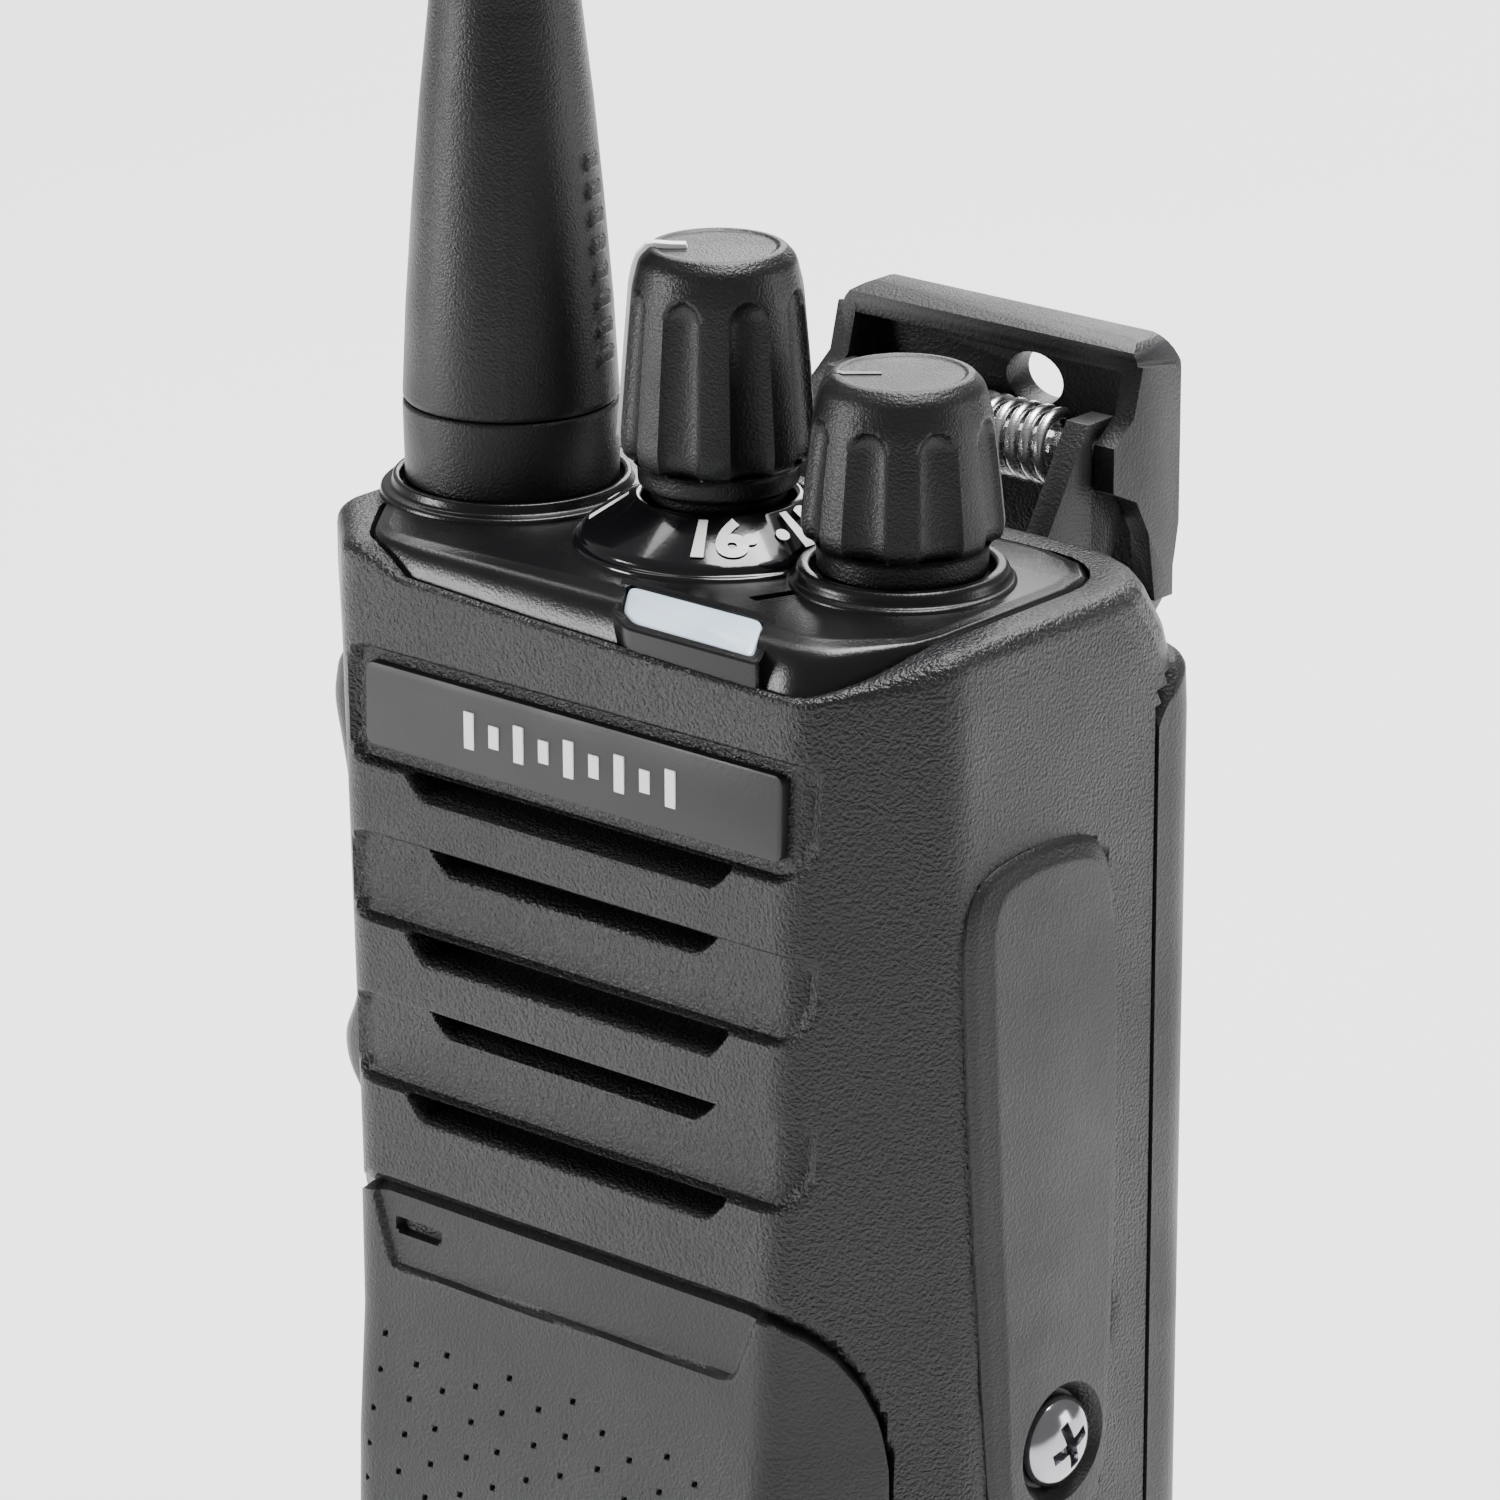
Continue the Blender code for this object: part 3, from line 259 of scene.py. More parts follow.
def floor_material():
    """A pale, faintly uneven floor."""
    graph = Graph("floor_look")
    broad = graph.noise(3.0, 4.0)
    graph.put(graph.shader, "Base Color", graph.mixed(graph.spread(broad, 0.3, 0.7, 0.0, 1.0),
                                                      (0.93, 0.93, 0.93, 1.0), (0.97, 0.97, 0.97, 1.0)))
    graph.put(graph.shader, "Roughness", graph.spread(broad, 0.3, 0.7, 0.75, 0.9))
    return graph.material


# Colour, worn colour, roughness, grain scale, grain depth in metres, edge wear, roughness spread, coat.
GREY_WEAR = (0.10, 0.10, 0.105)
MOULDED = {
    "case": ((0.0045, 0.0045, 0.0055), GREY_WEAR, 0.36, 4000.0, 0.00018, 0.3),
    "panel": ((0.008, 0.008, 0.009), GREY_WEAR, 0.46, 4200.0, 0.00008, 0.3),
    "battery": ((0.006, 0.006, 0.0065), GREY_WEAR, 0.44, 4600.0, 0.00008, 0.3),
    "deck": ((0.004, 0.004, 0.0045), (0.04, 0.04, 0.045), 0.27, 5200.0, 0.00002, 0.2, 0.05),
    "dial": ((0.003, 0.003, 0.004), (0.03, 0.03, 0.035), 0.14, 6000.0, 0.000004, 0.1, 0.03, 0.3),
    "badge": ((0.010, 0.010, 0.010), (0.06, 0.06, 0.06), 0.42, 6000.0, 0.00001, 0.2),
    "rubber": ((0.004, 0.004, 0.0045), (0.05, 0.05, 0.055), 0.38, 5200.0, 0.00006, 0.3),
    "inner_plastic": ((0.09, 0.09, 0.10), (0.2, 0.2, 0.2), 0.5, 3000.0, 0.00003),
    "cone": ((0.08, 0.07, 0.06), (0.15, 0.14, 0.12), 0.85, 2200.0, 0.00012),
    "cell": ((0.16, 0.28, 0.48), (0.4, 0.45, 0.55), 0.38, 1500.0, 0.00003),
}
# Colour and roughness.
MACHINED = {
    "aluminium": ((0.62, 0.63, 0.65), 0.38),
    "steel": ((0.60, 0.60, 0.60), 0.26),
    "magnet": ((0.34, 0.34, 0.35), 0.45),
    "brass": ((0.72, 0.55, 0.25), 0.28),
    "chrome": ((0.38, 0.38, 0.40), 0.14, (1.0, 1.0, 1.0), 0.000006),
    "gold": ((0.85, 0.63, 0.30), 0.24),
}


def look_name(slot):
    return slot.split("_")[0] + "_look"


def build_materials():
    looks = {slot: moulded(look_name(slot), *facts) for slot, facts in MOULDED.items()}
    looks |= {slot: machined(look_name(slot), *facts) for slot, facts in MACHINED.items()}
    return looks | {"lens": lens_material(), "pointer": paint_material(), "board": board_material()}


LOOKS = build_materials()


def dress_cad():
    """Gives each carried-over CAD node the look of its material slot."""
    for node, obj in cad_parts.items():
        current = obj.data.materials[0].name.split(".")[0] if obj.data.materials else "case"
        look = LOOKS.get(current, LOOKS["case"])
        obj.data.materials.clear()
        obj.data.materials.append(look)


# ---------------------------------------------------------------- meshes

def piece(name, points, faces, slot, body="radio", look=None, replaced=(), angle=38.0):
    """A smooth-shaded piece from millimetre points, riding on a body."""
    data = bpy.data.meshes.new(name)
    data.from_pydata((np.asarray(points, float) * MM).tolist(), [], faces)
    return finished(name, data, slot, body, look, replaced, angle)


def finished(name, data, slot, body="radio", look=None, replaced=(), angle=38.0):
    mesh = bmesh.new()
    mesh.from_mesh(data)
    bmesh.ops.recalc_face_normals(mesh, faces=mesh.faces)
    mesh.to_mesh(data)
    mesh.free()
    data.shade_smooth()
    data.set_sharp_from_angle(angle=math.radians(angle))
    data.materials.clear()
    data.materials.append(LOOKS[look or slot])
    obj = bpy.data.objects.new(name, data)
    bpy.context.scene.collection.objects.link(obj)
    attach(obj, body)
    if replaced:
        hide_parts(*replaced)
    return obj


def grid_faces(rows, columns, wrap=False):
    """Quads of a grid of points, closed round its columns if it wraps."""
    faces = []
    for row in range(rows - 1):
        here = row * columns
        for column in range(columns if wrap else columns - 1):
            after = (column + 1) % columns
            faces.append((here + column, here + after, here + columns + after, here + columns + column))
    return faces


def lofted(rings, cap_start=True, cap_end=True):
    """Points and faces of equal rings of points joined in order."""
    count = len(rings[0])
    faces = grid_faces(len(rings), count, wrap=True)
    if cap_start:
        faces.append(tuple(range(count)))
    if cap_end:
        faces.append(tuple((len(rings) - 1) * count + index for index in range(count)))
    return np.concatenate([np.asarray(ring, float) for ring in rings]), faces


def mesh_from(points, faces):
    data = bpy.data.meshes.new("part")
    data.from_pydata((np.asarray(points, float) * MM).tolist(), [], faces)
    mesh = bmesh.new()
    mesh.from_mesh(data)
    bmesh.ops.recalc_face_normals(mesh, faces=mesh.faces)
    if mesh.calc_volume(signed=True) < 0:
        bmesh.ops.reverse_faces(mesh, faces=mesh.faces)
    mesh.to_mesh(data)
    mesh.free()
    return data


def solved(base, tools):
    """Mesh data after exact Booleans: tools are (mesh data, operation)."""
    obj = bpy.data.objects.new("solve", base)
    bpy.context.scene.collection.objects.link(obj)
    helpers = []
    for data, operation in tools:
        helper = bpy.data.objects.new("tool", data)
        bpy.context.scene.collection.objects.link(helper)
        change = obj.modifiers.new("change", "BOOLEAN")
        change.operation = operation
        change.solver = "EXACT"
        change.object = helper
        helpers.append(helper)
    bpy.context.view_layer.update()
    graph = bpy.context.evaluated_depsgraph_get()
    result = bpy.data.meshes.new_from_object(obj.evaluated_get(graph))
    for helper in helpers + [obj]:
        bpy.data.objects.remove(helper)
    return result


def bevelled(data, width, segments=3, angle=35.0):
    """Mesh data with its sharp edges rounded."""
    mesh = bmesh.new()
    mesh.from_mesh(data)
    bmesh.ops.remove_doubles(mesh, verts=mesh.verts, dist=0.002 * MM)
    sharp = [edge for edge in mesh.edges if len(edge.link_faces) == 2
             and edge.calc_face_angle(0.0) > math.radians(angle)]
    bmesh.ops.bevel(mesh, geom=sharp, offset=width * MM, segments=segments, profile=0.5,
                    affect="EDGES", clamp_overlap=True)
    mesh.to_mesh(data)
    mesh.free()
    return data


def slab(outline, axis, low, high):
    """A prism of an outline along an axis."""
    rings = []
    for along in (low, high):
        rings.append([{"x": (along, a, b), "y": (a, along, b), "z": (a, b, along)}[axis] for a, b in outline])
    return mesh_from(*lofted(rings))


def block(x, y, z):
    return slab(((x[0], y[0]), (x[1], y[0]), (x[1], y[1]), (x[0], y[1])), "z", *z)


def softened(outline, rounds=3):
    """Corners of an outline cut again and again until they're round."""
    points = np.asarray(outline, float)
    for _ in range(rounds):
        after = np.roll(points, -1, axis=0)
        points = np.stack([points * 0.75 + after * 0.25, points * 0.25 + after * 0.75], 1).reshape(-1, 2)
    return points


def corner_arc(before, corner, after, radius, steps):
    """Points of the arc that takes up a corner."""
    before, corner, after = Vector(before), Vector(corner), Vector(after)
    back, on = before - corner, after - corner
    reach = min(radius, back.length * 0.45, on.length * 0.45)
    start, end = corner + back.normalized() * reach, corner + on.normalized() * reach
    shares = [step / steps for step in range(steps + 1)]
    return [tuple(start * (1 - t) ** 2 + corner * 2 * t * (1 - t) + end * t ** 2) for t in shares]


def round_corners(outline, radius, steps=5):
    """A closed outline whose corners are arcs of about the radius."""
    outline = list(outline)
    result = []
    for before, corner, after in zip(outline[-1:] + outline[:-1], outline, outline[1:] + outline[:1]):
        result += corner_arc(before, corner, after, radius, steps)
    return result


def rounded_profile(points, radius, steps=3):
    """An open profile with small arcs at its inner corners."""
    result = [tuple(points[0])]
    for before, corner, after in zip(points, points[1:], points[2:]):
        result += corner_arc(before, corner, after, radius, steps)
    return result + [tuple(points[-1])]


def ring_about(centre, reach, turns, along, axis="z"):
    """Points at a reach round an axis, at one place along it."""
    a, b = centre[0] + reach * np.cos(turns), centre[1] + reach * np.sin(turns)
    along = np.full(len(turns), along)
    return np.stack({"z": (a, b, along), "x": (along, a, b)}[axis], 1)


def turned(profile, centre, sides, axis="z", caps=(True, True)):
    """Points and faces of a (radius, along) profile turned about an axis."""
    turns = np.arange(sides) * 2 * math.pi / sides
    return lofted([ring_about(centre, radius, turns, along, axis) for radius, along in profile], *caps)


# ---------------------------------------------------------------- case section

def columns_round():
    """(segment, share along it, side) of each column, from the middle rear round the front and back."""
    right = [(segment, (step + 1) / count, 1.0)
             for segment, count in enumerate(SEGMENT_COLUMNS) for step in range(count)]
    left = [(segment, share, -1.0) for segment, share, _ in reversed(right)]
    columns = left + [(0, 0.0, 1.0)] + right[:-1]
    return tuple(np.array(values, float) for values in zip(*columns))


def station(z):
    """The case's six section sizes at heights z."""
    return [np.interp(z, STATIONS[:, 0], STATIONS[:, size]) for size in range(1, 7)]


def section(columns, z, inset):
    """Position, outward normal and distance along the front of each column at heights z."""
    segment, t, side = columns
    z, inset = np.broadcast_arrays(z, inset)
    front, flat, start, rear, radius, half = station(z)
    slant = math.tan(math.pi / 8) * inset
    front, flat, start = front + inset, flat - slant, start + slant
    rear, radius, half = rear - inset, np.maximum(radius - inset, 0.8), half - inset
    run = np.stack([half - flat, start - front])
    length = np.hypot(*run)
    run = run / length
    corner_1, corner_2 = np.stack([flat, front]), np.stack([half, start])
    a1, b1 = corner_1 - np.stack([CORNER + 0 * z, 0 * z]), corner_1 + run * CORNER
    a2, b2 = corner_2 - run * CORNER, corner_2 + np.stack([0 * z, CORNER + 0 * z])
    arc = np.stack([half - radius, rear - radius])
    end = np.stack([half, rear - radius])
    turn = t * math.pi / 2 + 0 * z
    zero = 0 * z

    def curve(a, c, b):
        return a * (1 - t) ** 2 + c * 2 * t * (1 - t) + b * t ** 2, (c - a) * (1 - t) + (b - c) * t

    def line(a, b):
        return a * (1 - t) + b * t, b - a

    rounded = (arc + radius * np.stack([np.cos(turn), np.sin(turn)]), np.stack([-np.sin(turn), np.cos(turn)]))
    parts = [line(np.stack([zero, front]), a1), curve(a1, corner_1, b1), line(b1, a2),
             curve(a2, corner_2, b2), line(b2, end), rounded,
             line(np.stack([half - radius, rear]), np.stack([zero, rear]))]
    place, tangent = np.zeros_like(run), np.zeros_like(run)
    for number, (where, along) in enumerate(parts):
        chosen = (segment == number) & (zero == 0)
        place = np.where(chosen, where, place)
        tangent = np.where(chosen, along, tangent)
    tangent = tangent / np.maximum(np.hypot(*tangent), 1e-9)
    normal = np.stack([tangent[1] * side, -tangent[0]])
    starts = [zero, flat - CORNER, flat + CORNER, flat + length - CORNER, flat + length + CORNER]
    spans = [flat - CORNER, 2 * CORNER, length - 2 * CORNER, 2 * CORNER, 20 + zero]
    distance = np.zeros_like(z) + 60.0
    for number, (first, span) in enumerate(zip(starts, spans)):
        distance = np.where((segment == number) & (zero == 0), first + span * t, distance)
    return place[0] * side, place[1], normal, distance * side


def step_between(value, low, high):
    share = np.clip((value - low) / (high - low), 0.0, 1.0)
    return share * share * (3 - 2 * share)


def outside(a, b, outline):
    """Signed distance from an outline, negative inside."""
    outline = np.asarray(outline, float)
    nearest = np.full(a.shape, 1e9)
    winding = np.zeros(a.shape, bool)
    for (x0, y0), (x1, y1) in zip(outline, np.roll(outline, -1, axis=0)):
        dx, dy = x1 - x0, y1 - y0
        t = np.clip(((a - x0) * dx + (b - y0) * dy) / (dx * dx + dy * dy), 0, 1)
        nearest = np.minimum(nearest, np.hypot(a - x0 - t * dx, b - y0 - t * dy))
        if y0 != y1:
            crosses = ((y0 > b) != (y1 > b)) & (a < (b - y0) * dx / dy + x0)
            winding ^= crosses
    return np.where(winding, -nearest, nearest)


def pocket_outline(low, high):
    return round_corners([(POCKET_LEFT + 0.9, low), (POCKET_RIGHT - 2.2, low), (POCKET_RIGHT, low + 2.4),
                          (POCKET_RIGHT, high), (POCKET_LEFT, high), (POCKET_LEFT, low + 1.6)], 1.6)


def slot_outline(wide_z, narrow_z, wide, narrow):
    return round_corners([(-wide, wide_z), (wide, wide_z), (narrow, narrow_z), (-narrow, narrow_z)], 0.4, 3)


def front_relief(s, z):
    """Depth pressed into the front and its slanted faces."""
    depth = np.zeros(s.shape)
    for low, high in POCKETS:
        depth += POCKET_DEPTH * step_between(-outside(s, z, pocket_outline(low, high)), -0.1, 0.4)
    for wide_z, narrow_z, wide, narrow in SLOTS:
        inside = -outside(s, z, slot_outline(wide_z, narrow_z, wide, narrow))
        lip = step_between(z, narrow_z, narrow_z + 0.75)
        cavity = step_between(z, narrow_z + 0.65, narrow_z + 0.85)
        cut_depth = 0.9 * lip + SLOT_DEPTH * cavity
        depth = np.maximum(depth, depth + cut_depth * step_between(inside, -0.1, 0.45))
    for number in range(3):
        mark = np.maximum(abs(s + 17.6 - 1.3 * number) - 0.3, abs(z - 81.7) - 0.9)
        depth -= 0.18 * step_between(-mark, -0.1, 0.15)
    return depth


def panel_edge_z(s):
    return np.interp(abs(s), PANEL_TOP_S, PANEL_TOP_Z)


def panel_inside(s, z):
    """Positive inside the lower panel's edge."""
    return np.minimum(np.minimum(panel_edge_z(s) - z, z - PANEL_BOTTOM), PANEL_HALF - abs(s))


def side_relief(side, y, z):
    """Depth pressed into the sides: the cover's and the keys' pockets."""
    depth = 1.3 * step_between(-outside(y, z, softened(COVER_OUTER)), 0.3, 0.7) * (side > 0)
    for low, high in [PTT_Z, *SIDE_KEYS.values()]:
        frame_edge = np.maximum(np.maximum(KEY_Y[0] - 0.4 - y, y - KEY_Y[1] - 0.4),
                                np.maximum(low - 0.4 - z, z - high - 0.4))
        depth = np.where(side < 0, np.maximum(depth, 1.5 * step_between(-frame_edge, 0.0, 0.3)), depth)
    return depth


def case_rows():
    return np.concatenate([[1.0, 1.6], np.linspace(2.2, 4.6, 9), np.arange(6.0, 57.0, 3.0),
                           np.arange(57.4, 80.0, 0.5), np.arange(80.0, 82.6, 0.26),
                           np.arange(82.6, 116.6, 0.168)])


def rim_sizes(columns):
    """Each column's distance round the front, rim height and rim width."""
    count = len(columns[0])
    _, _, _, s = section(columns, np.full(count, 121.0), np.zeros(count))
    return s, np.interp(s, RIM_S, RIM_Z), np.interp(s, LAND_S, LAND_WIDTH)


def case_shell():
    """The case's outside, from its base round the rim, with the pockets, slots and seats pressed in."""
    columns = columns_round()
    segment, _, side = columns
    count = len(segment)
    _, rim, land = rim_sizes(columns)
    rounding = np.minimum(land * 0.55, 1.3)
    rows = [(0.0 * rim, 0.0 * rim + inset) for inset in (3.0, 1.2, 0.4)]
    rows.append((0.3 + 0 * rim, 0 * rim))
    rows += [(z + 0 * rim, 0 * rim) for z in case_rows()]
    for share in np.linspace(0.0, 1.0, 14)[1:]:
        rows.append((116.6 + (rim - rounding - 116.6) * share, 0 * rim))
    for turn in np.linspace(0, math.pi / 2, 7)[1:]:
        rows.append((rim - rounding * (1 - math.sin(turn)), rounding * (1 - math.cos(turn))))
    rows += [(rim + 0.04, land - 0.25), (rim - 0.05, land), (rim - 0.5, land + 0.15)]
    rows.append((119.6 + 0 * rim, land + 0.15))
    z = np.array([row[0] for row in rows])
    inset = np.array([row[1] for row in rows])
    x, y, normal, s = section(columns, z, inset)
    depth = np.zeros(z.shape)
    facing = (segment <= 3) & (z > 1.0) & (inset == 0)
    depth = np.where(facing, front_relief(s, z), depth)
    seat = 1.0 * step_between(panel_inside(s, z), -0.8, 0.05)
    depth = np.where(facing, np.maximum(depth, seat), depth)
    flank = (segment >= 2) & (segment <= 5) & (inset == 0)
    depth = np.where(flank, depth + side_relief(side, y, z), depth)
    x, y = x - normal[0] * depth, y - normal[1] * depth
    seam_top = np.interp(y, BATTERY_TOP_Y, BATTERY_TOP_Z) + 0.35
    behind = (y > BATTERY_SEAM_Y - 0.4) & (z < seam_top) & (z > BATTERY_BOTTOM - 0.35)
    y = np.where(behind, BATTERY_SEAM_Y - 0.4 + 0.01 * (y - BATTERY_SEAM_Y), y)
    points = np.stack([x, y, z], -1).reshape(-1, 3)
    faces = grid_faces(len(rows), count, wrap=True) + [tuple(range(count))]
    piece("case_shell", points, faces, "case", replaced=("front_case",))


def lower_panel():
    """The speaker panel: it wraps the front, with a stepped inset at its top and pin-prick perforations."""
    across = np.concatenate([np.linspace(-PANEL_HALF, -18, 30)[:-1], np.linspace(-18, 18, 145),
                             np.linspace(18, PANEL_HALF, 30)[1:]])
    share = np.concatenate([np.linspace(0, 0.2, 12)[:-1], np.linspace(0.2, 1.0, 250)])
    s, t = np.meshgrid(across, share)
    top = panel_edge_z(s)
    z = PANEL_BOTTOM + (top - PANEL_BOTTOM) * t
    edge = np.minimum(np.minimum(top - z, z - PANEL_BOTTOM), PANEL_HALF - abs(s))
    depth = 0.75 * (1 - step_between(edge, 0.0, 0.45)) - 0.12
    depth += 0.45 * step_between(-outside(s, z, round_corners(PANEL_INSET, 0.9)), 0.0, 0.3)
    slot = np.hypot(np.maximum(abs(s - MIC_SLOT[0]) - MIC_SLOT_HALF, 0), z - MIC_SLOT[1])
    depth += 1.4 * step_between(-slot, -0.55, -0.35) * (s < 0)
    depth += perforations(s, z, PERFORATED)
    x, y, normal = wrapped(s, z)
    outer = np.stack([x - normal[0] * depth, y - normal[1] * depth, z], -1)
    rows, count = s.shape
    points = outer.reshape(-1, 3)
    faces = grid_faces(rows, count)
    border = border_of(rows, count)
    normal = np.stack([*normal, 0 * z], -1).reshape(-1, 3)[border]
    surface = np.stack([x, y, z], -1).reshape(-1, 3)[border]
    points, faces = folded_back(points, faces, border, surface - PANEL_THICK * normal)
    piece("speaker_panel", points, faces, "case", look="panel", replaced=("lower_front_panel",))


def folded_back(points, faces, border, back):
    """A sheet with a rim from its border to a second loop of points behind it."""
    start, count = len(points), len(border)
    rim = [(border[k], border[(k + 1) % count], start + (k + 1) % count, start + k) for k in range(count)]
    return np.concatenate([points, back]), faces + rim


def border_of(rows, count):
    """Indexes round the edge of a grid."""
    bottom = list(range(count))
    right = [row * count + count - 1 for row in range(1, rows)]
    top = [(rows - 1) * count + column for column in range(count - 2, -1, -1)]
    left = [row * count for row in range(rows - 2, 0, -1)]
    return bottom + right + top + left


def wrapped(s, z):
    """Position and normal on the front and slanted faces at a distance s along them."""
    front, flat, start, _, _, half = station(z)
    run = np.stack([half - flat, start - front])
    run = run / np.hypot(*run)
    side, reach = np.sign(s), abs(s)
    beyond = reach - flat
    t = np.clip((beyond + CORNER) / (2 * CORNER), 0, 1)
    bend = np.where(abs(beyond) < CORNER, 1.0, 0.0)
    on_flat = np.stack([reach, front])
    on_slant = np.stack([flat, front]) + run * beyond
    c = np.stack([flat, front])
    a, b = np.stack([flat - CORNER, front]), c + run * CORNER
    on_bend = a * (1 - t) ** 2 + c * 2 * t * (1 - t) + b * t ** 2
    place = np.where(bend > 0, on_bend, np.where(beyond > 0, on_slant, on_flat))
    tangent = np.stack([1 - t, 0 * t]) + run * t
    tangent = tangent / np.hypot(*tangent)
    return place[0] * side, place[1], np.stack([tangent[1] * side, -tangent[0]])


DIMPLE_DEPTH = 0.75
DIMPLE_MARGIN = 0.6
DIMPLE_MIDDLE = (0.5, 38.5)
DIMPLE_STEP = (2.85, 2.7)
DIMPLE_LEAN = 0.35
DIMPLE_STAGGER = 1.35


def perforations(s, z, region):
    """Small dimples on a leaning, staggered lattice, each on the nearest grid point inside the region."""
    depth = np.zeros(s.shape)
    across, levels = s[0], z[:, s.shape[1] // 2]
    for i in range(-22, 23):
        for j in range(-26, 27):
            a = DIMPLE_MIDDLE[0] + DIMPLE_STEP[0] * i + DIMPLE_LEAN * j
            b = DIMPLE_MIDDLE[1] + DIMPLE_STAGGER * (i % 2) + DIMPLE_STEP[1] * j
            if outside(np.array([a]), np.array([b]), region)[0] <= -DIMPLE_MARGIN:
                column, row = int(abs(across - a).argmin()), int(abs(levels - b).argmin())
                depth[row, column] = DIMPLE_DEPTH
    return depth


# ---------------------------------------------------------------- top

LENS_OUTLINE = ((1.7, -12.0), (13.2, -12.0), (15.05, -15.35), (5.0, -15.2), (3.2, -14.3))


def lens_plane_z(y):
    return 123.02 - 0.34 * max(0.0, -12.0 - y)


def grown(outline, distance):
    """An outline moved outwards along its corners."""
    points = [Vector(point) for point in outline]
    area = sum(a.x * b.y - b.x * a.y for a, b in zip(points, points[1:] + points[:1]))
    result = []
    for index, corner in enumerate(points):
        before = (corner - points[index - 1]).normalized()
        after = (points[(index + 1) % len(points)] - corner).normalized()
        normal = Vector((before.y + after.y, -before.x - after.x)).normalized() * (1 if area > 0 else -1)
        stretch = max(abs(normal.dot(Vector((before.y, -before.x)))), 0.6)
        result.append(tuple(corner + normal * distance / stretch))
    return result


def lens_frame(grow, rise):
    """The bed that carries the lens: it stands on the deck's front slope."""
    outline = round_corners(grown(LENS_OUTLINE, grow), 0.6, 3)
    return mesh_from(*lofted([[(a, b, 119.8) for a, b in outline],
                              [(a, b, lens_plane_z(b) + rise - 0.15) for a, b in outline],
                              [(a, b + 0.12, lens_plane_z(b) + rise) for a, b in outline]]))


def deck():
    """The control deck: a rounded apron inside the rim, with the lens bed and two index marks."""
    columns = columns_round()
    keep = np.concatenate([np.arange(0, 74, 2), np.arange(74, len(columns[0]) - 74, 4),
                           np.arange(len(columns[0]) - 74, len(columns[0]), 2)])
    columns = tuple(values[keep] for values in columns)
    s, rim, land = rim_sizes(columns)
    edge = np.maximum(np.interp(s, DECK_S, DECK_EDGE) - 0.15, land + 0.8)
    first, second = land + 0.2, land + 0.3
    levels = [(119.7 + 0 * rim, first), (rim - 0.4, first), (rim - 0.2, second)]
    levels += [(rim - 0.2 + (123.05 - rim) * (1 - (1 - t) ** 4), second + (edge - second) * t)
               for t in (0.04, 0.1, 0.18, 0.3, 0.45, 0.7, 1.0)]
    levels += [(DECK_Z - 0.03 + 0 * rim, edge + 0.25), (DECK_Z + 0 * rim, edge + 0.55)]
    rings = []
    for z, inset in levels:
        x, y, _, _ = section(columns, z, inset)
        rings.append(np.stack([x, y, z], 1))
    base = mesh_from(*lofted(rings))
    tools = [(lens_frame(0.75, 0.12), "UNION"),
             (slab(round_corners(grown(LENS_OUTLINE, 0.12), 0.5, 3), "z", 121.0, 126.0), "DIFFERENCE"),
             (block((13.1, 15.5), (12.15, 12.6), (122.7, 124)), "DIFFERENCE"),
             (slab(((9.2, -8.9), (10.1, -9.2), (11.4, -6.1), (10.6, -5.7)), "z", 122.6, 124.0), "DIFFERENCE")]
    data = solved(base, tools)
    finished("control_deck", data, "deck", replaced=("top_panel",), angle=30.0)


COLLAR_PROFILE = ((7.6, 122.4), (7.6, 123.95), (7.75, 124.1), (8.1, 124.1), (8.25, 123.4), (8.95, 123.3),
                  (9.05, 122.6))
RING_PROFILE = ((6.0, 122.6), (6.05, 124.1), (6.2, 124.25), (6.75, 124.25), (7.0, 123.9), (7.05, 123.35),
                (7.45, 123.2), (7.5, 122.8))


def deck_rings():
    """The collar round the antenna's foot and the ring round the volume knob's skirt."""
    points, faces = turned(rounded_profile(COLLAR_PROFILE, 0.2), ANTENNA, 128, caps=(False, False))
    piece("antenna_collar", points, faces, "deck")
    points, faces = turned(rounded_profile(RING_PROFILE, 0.18), VOLUME, 128, caps=(False, False))
    piece("volume_ring", points, faces, "deck")


CONE_TOP, CONE_FOOT = (5.6, 126.15), (9.0, 123.95)
DIAL_PROFILE = ((5.1, 124.0), (5.1, 126.0), (5.35, 126.2), CONE_TOP, CONE_FOOT, (9.25, 123.7), (9.35, 123.35),
                (9.75, 123.2), (9.85, 122.7))
NUMERAL_RADIUS = 7.35
NUMERAL_SIZE = 4.1
NUMERAL_BOLD = 0.17
DOT_RADIUS = 0.48
PAINT_LIFT = 0.13
PLACES = 16


def cone_z(radius):
    return CONE_TOP[1] + (CONE_FOOT[1] - CONE_TOP[1]) * (radius - CONE_TOP[0]) / (CONE_FOOT[0] - CONE_TOP[0])


def dial():
    """The dial's cone, trimmed by the volume ring, and its painted numerals and dots."""
    points, faces = turned(rounded_profile(DIAL_PROFILE, 0.15), CHANNEL, 144, caps=(False, False))
    clear = 7.55
    away = points[:, :2] - np.array(VOLUME)
    distance = np.hypot(away[:, 0], away[:, 1])
    close = distance < clear
    points[close, :2] = np.array(VOLUME) + away[close] * (clear / distance[close])[:, None]
    piece("dial_cone", points, faces, "dial", replaced=("channel_dial",))
    for position in range(PLACES):
        bearing = POINTER_BEARING - NUMERAL_STEP * position
        shown = position % 3 == 0
        numeral(str(position + 1), bearing) if shown else dot(position + 1, bearing)


def on_cone(bearing, across, up, lift):
    """A point on the dial's cone: across runs round it and up runs towards the axis."""
    slope = Vector((CONE_FOOT[0] - CONE_TOP[0], CONE_TOP[1] - CONE_FOOT[1])).normalized()
    radius = NUMERAL_RADIUS - up * slope.x
    turn = bearing + across / NUMERAL_RADIUS
    reach = radius + lift * slope.y
    x, y = CHANNEL[0] + reach * math.cos(turn), CHANNEL[1] + reach * math.sin(turn)
    return (x, y, cone_z(radius) + lift * slope.x)


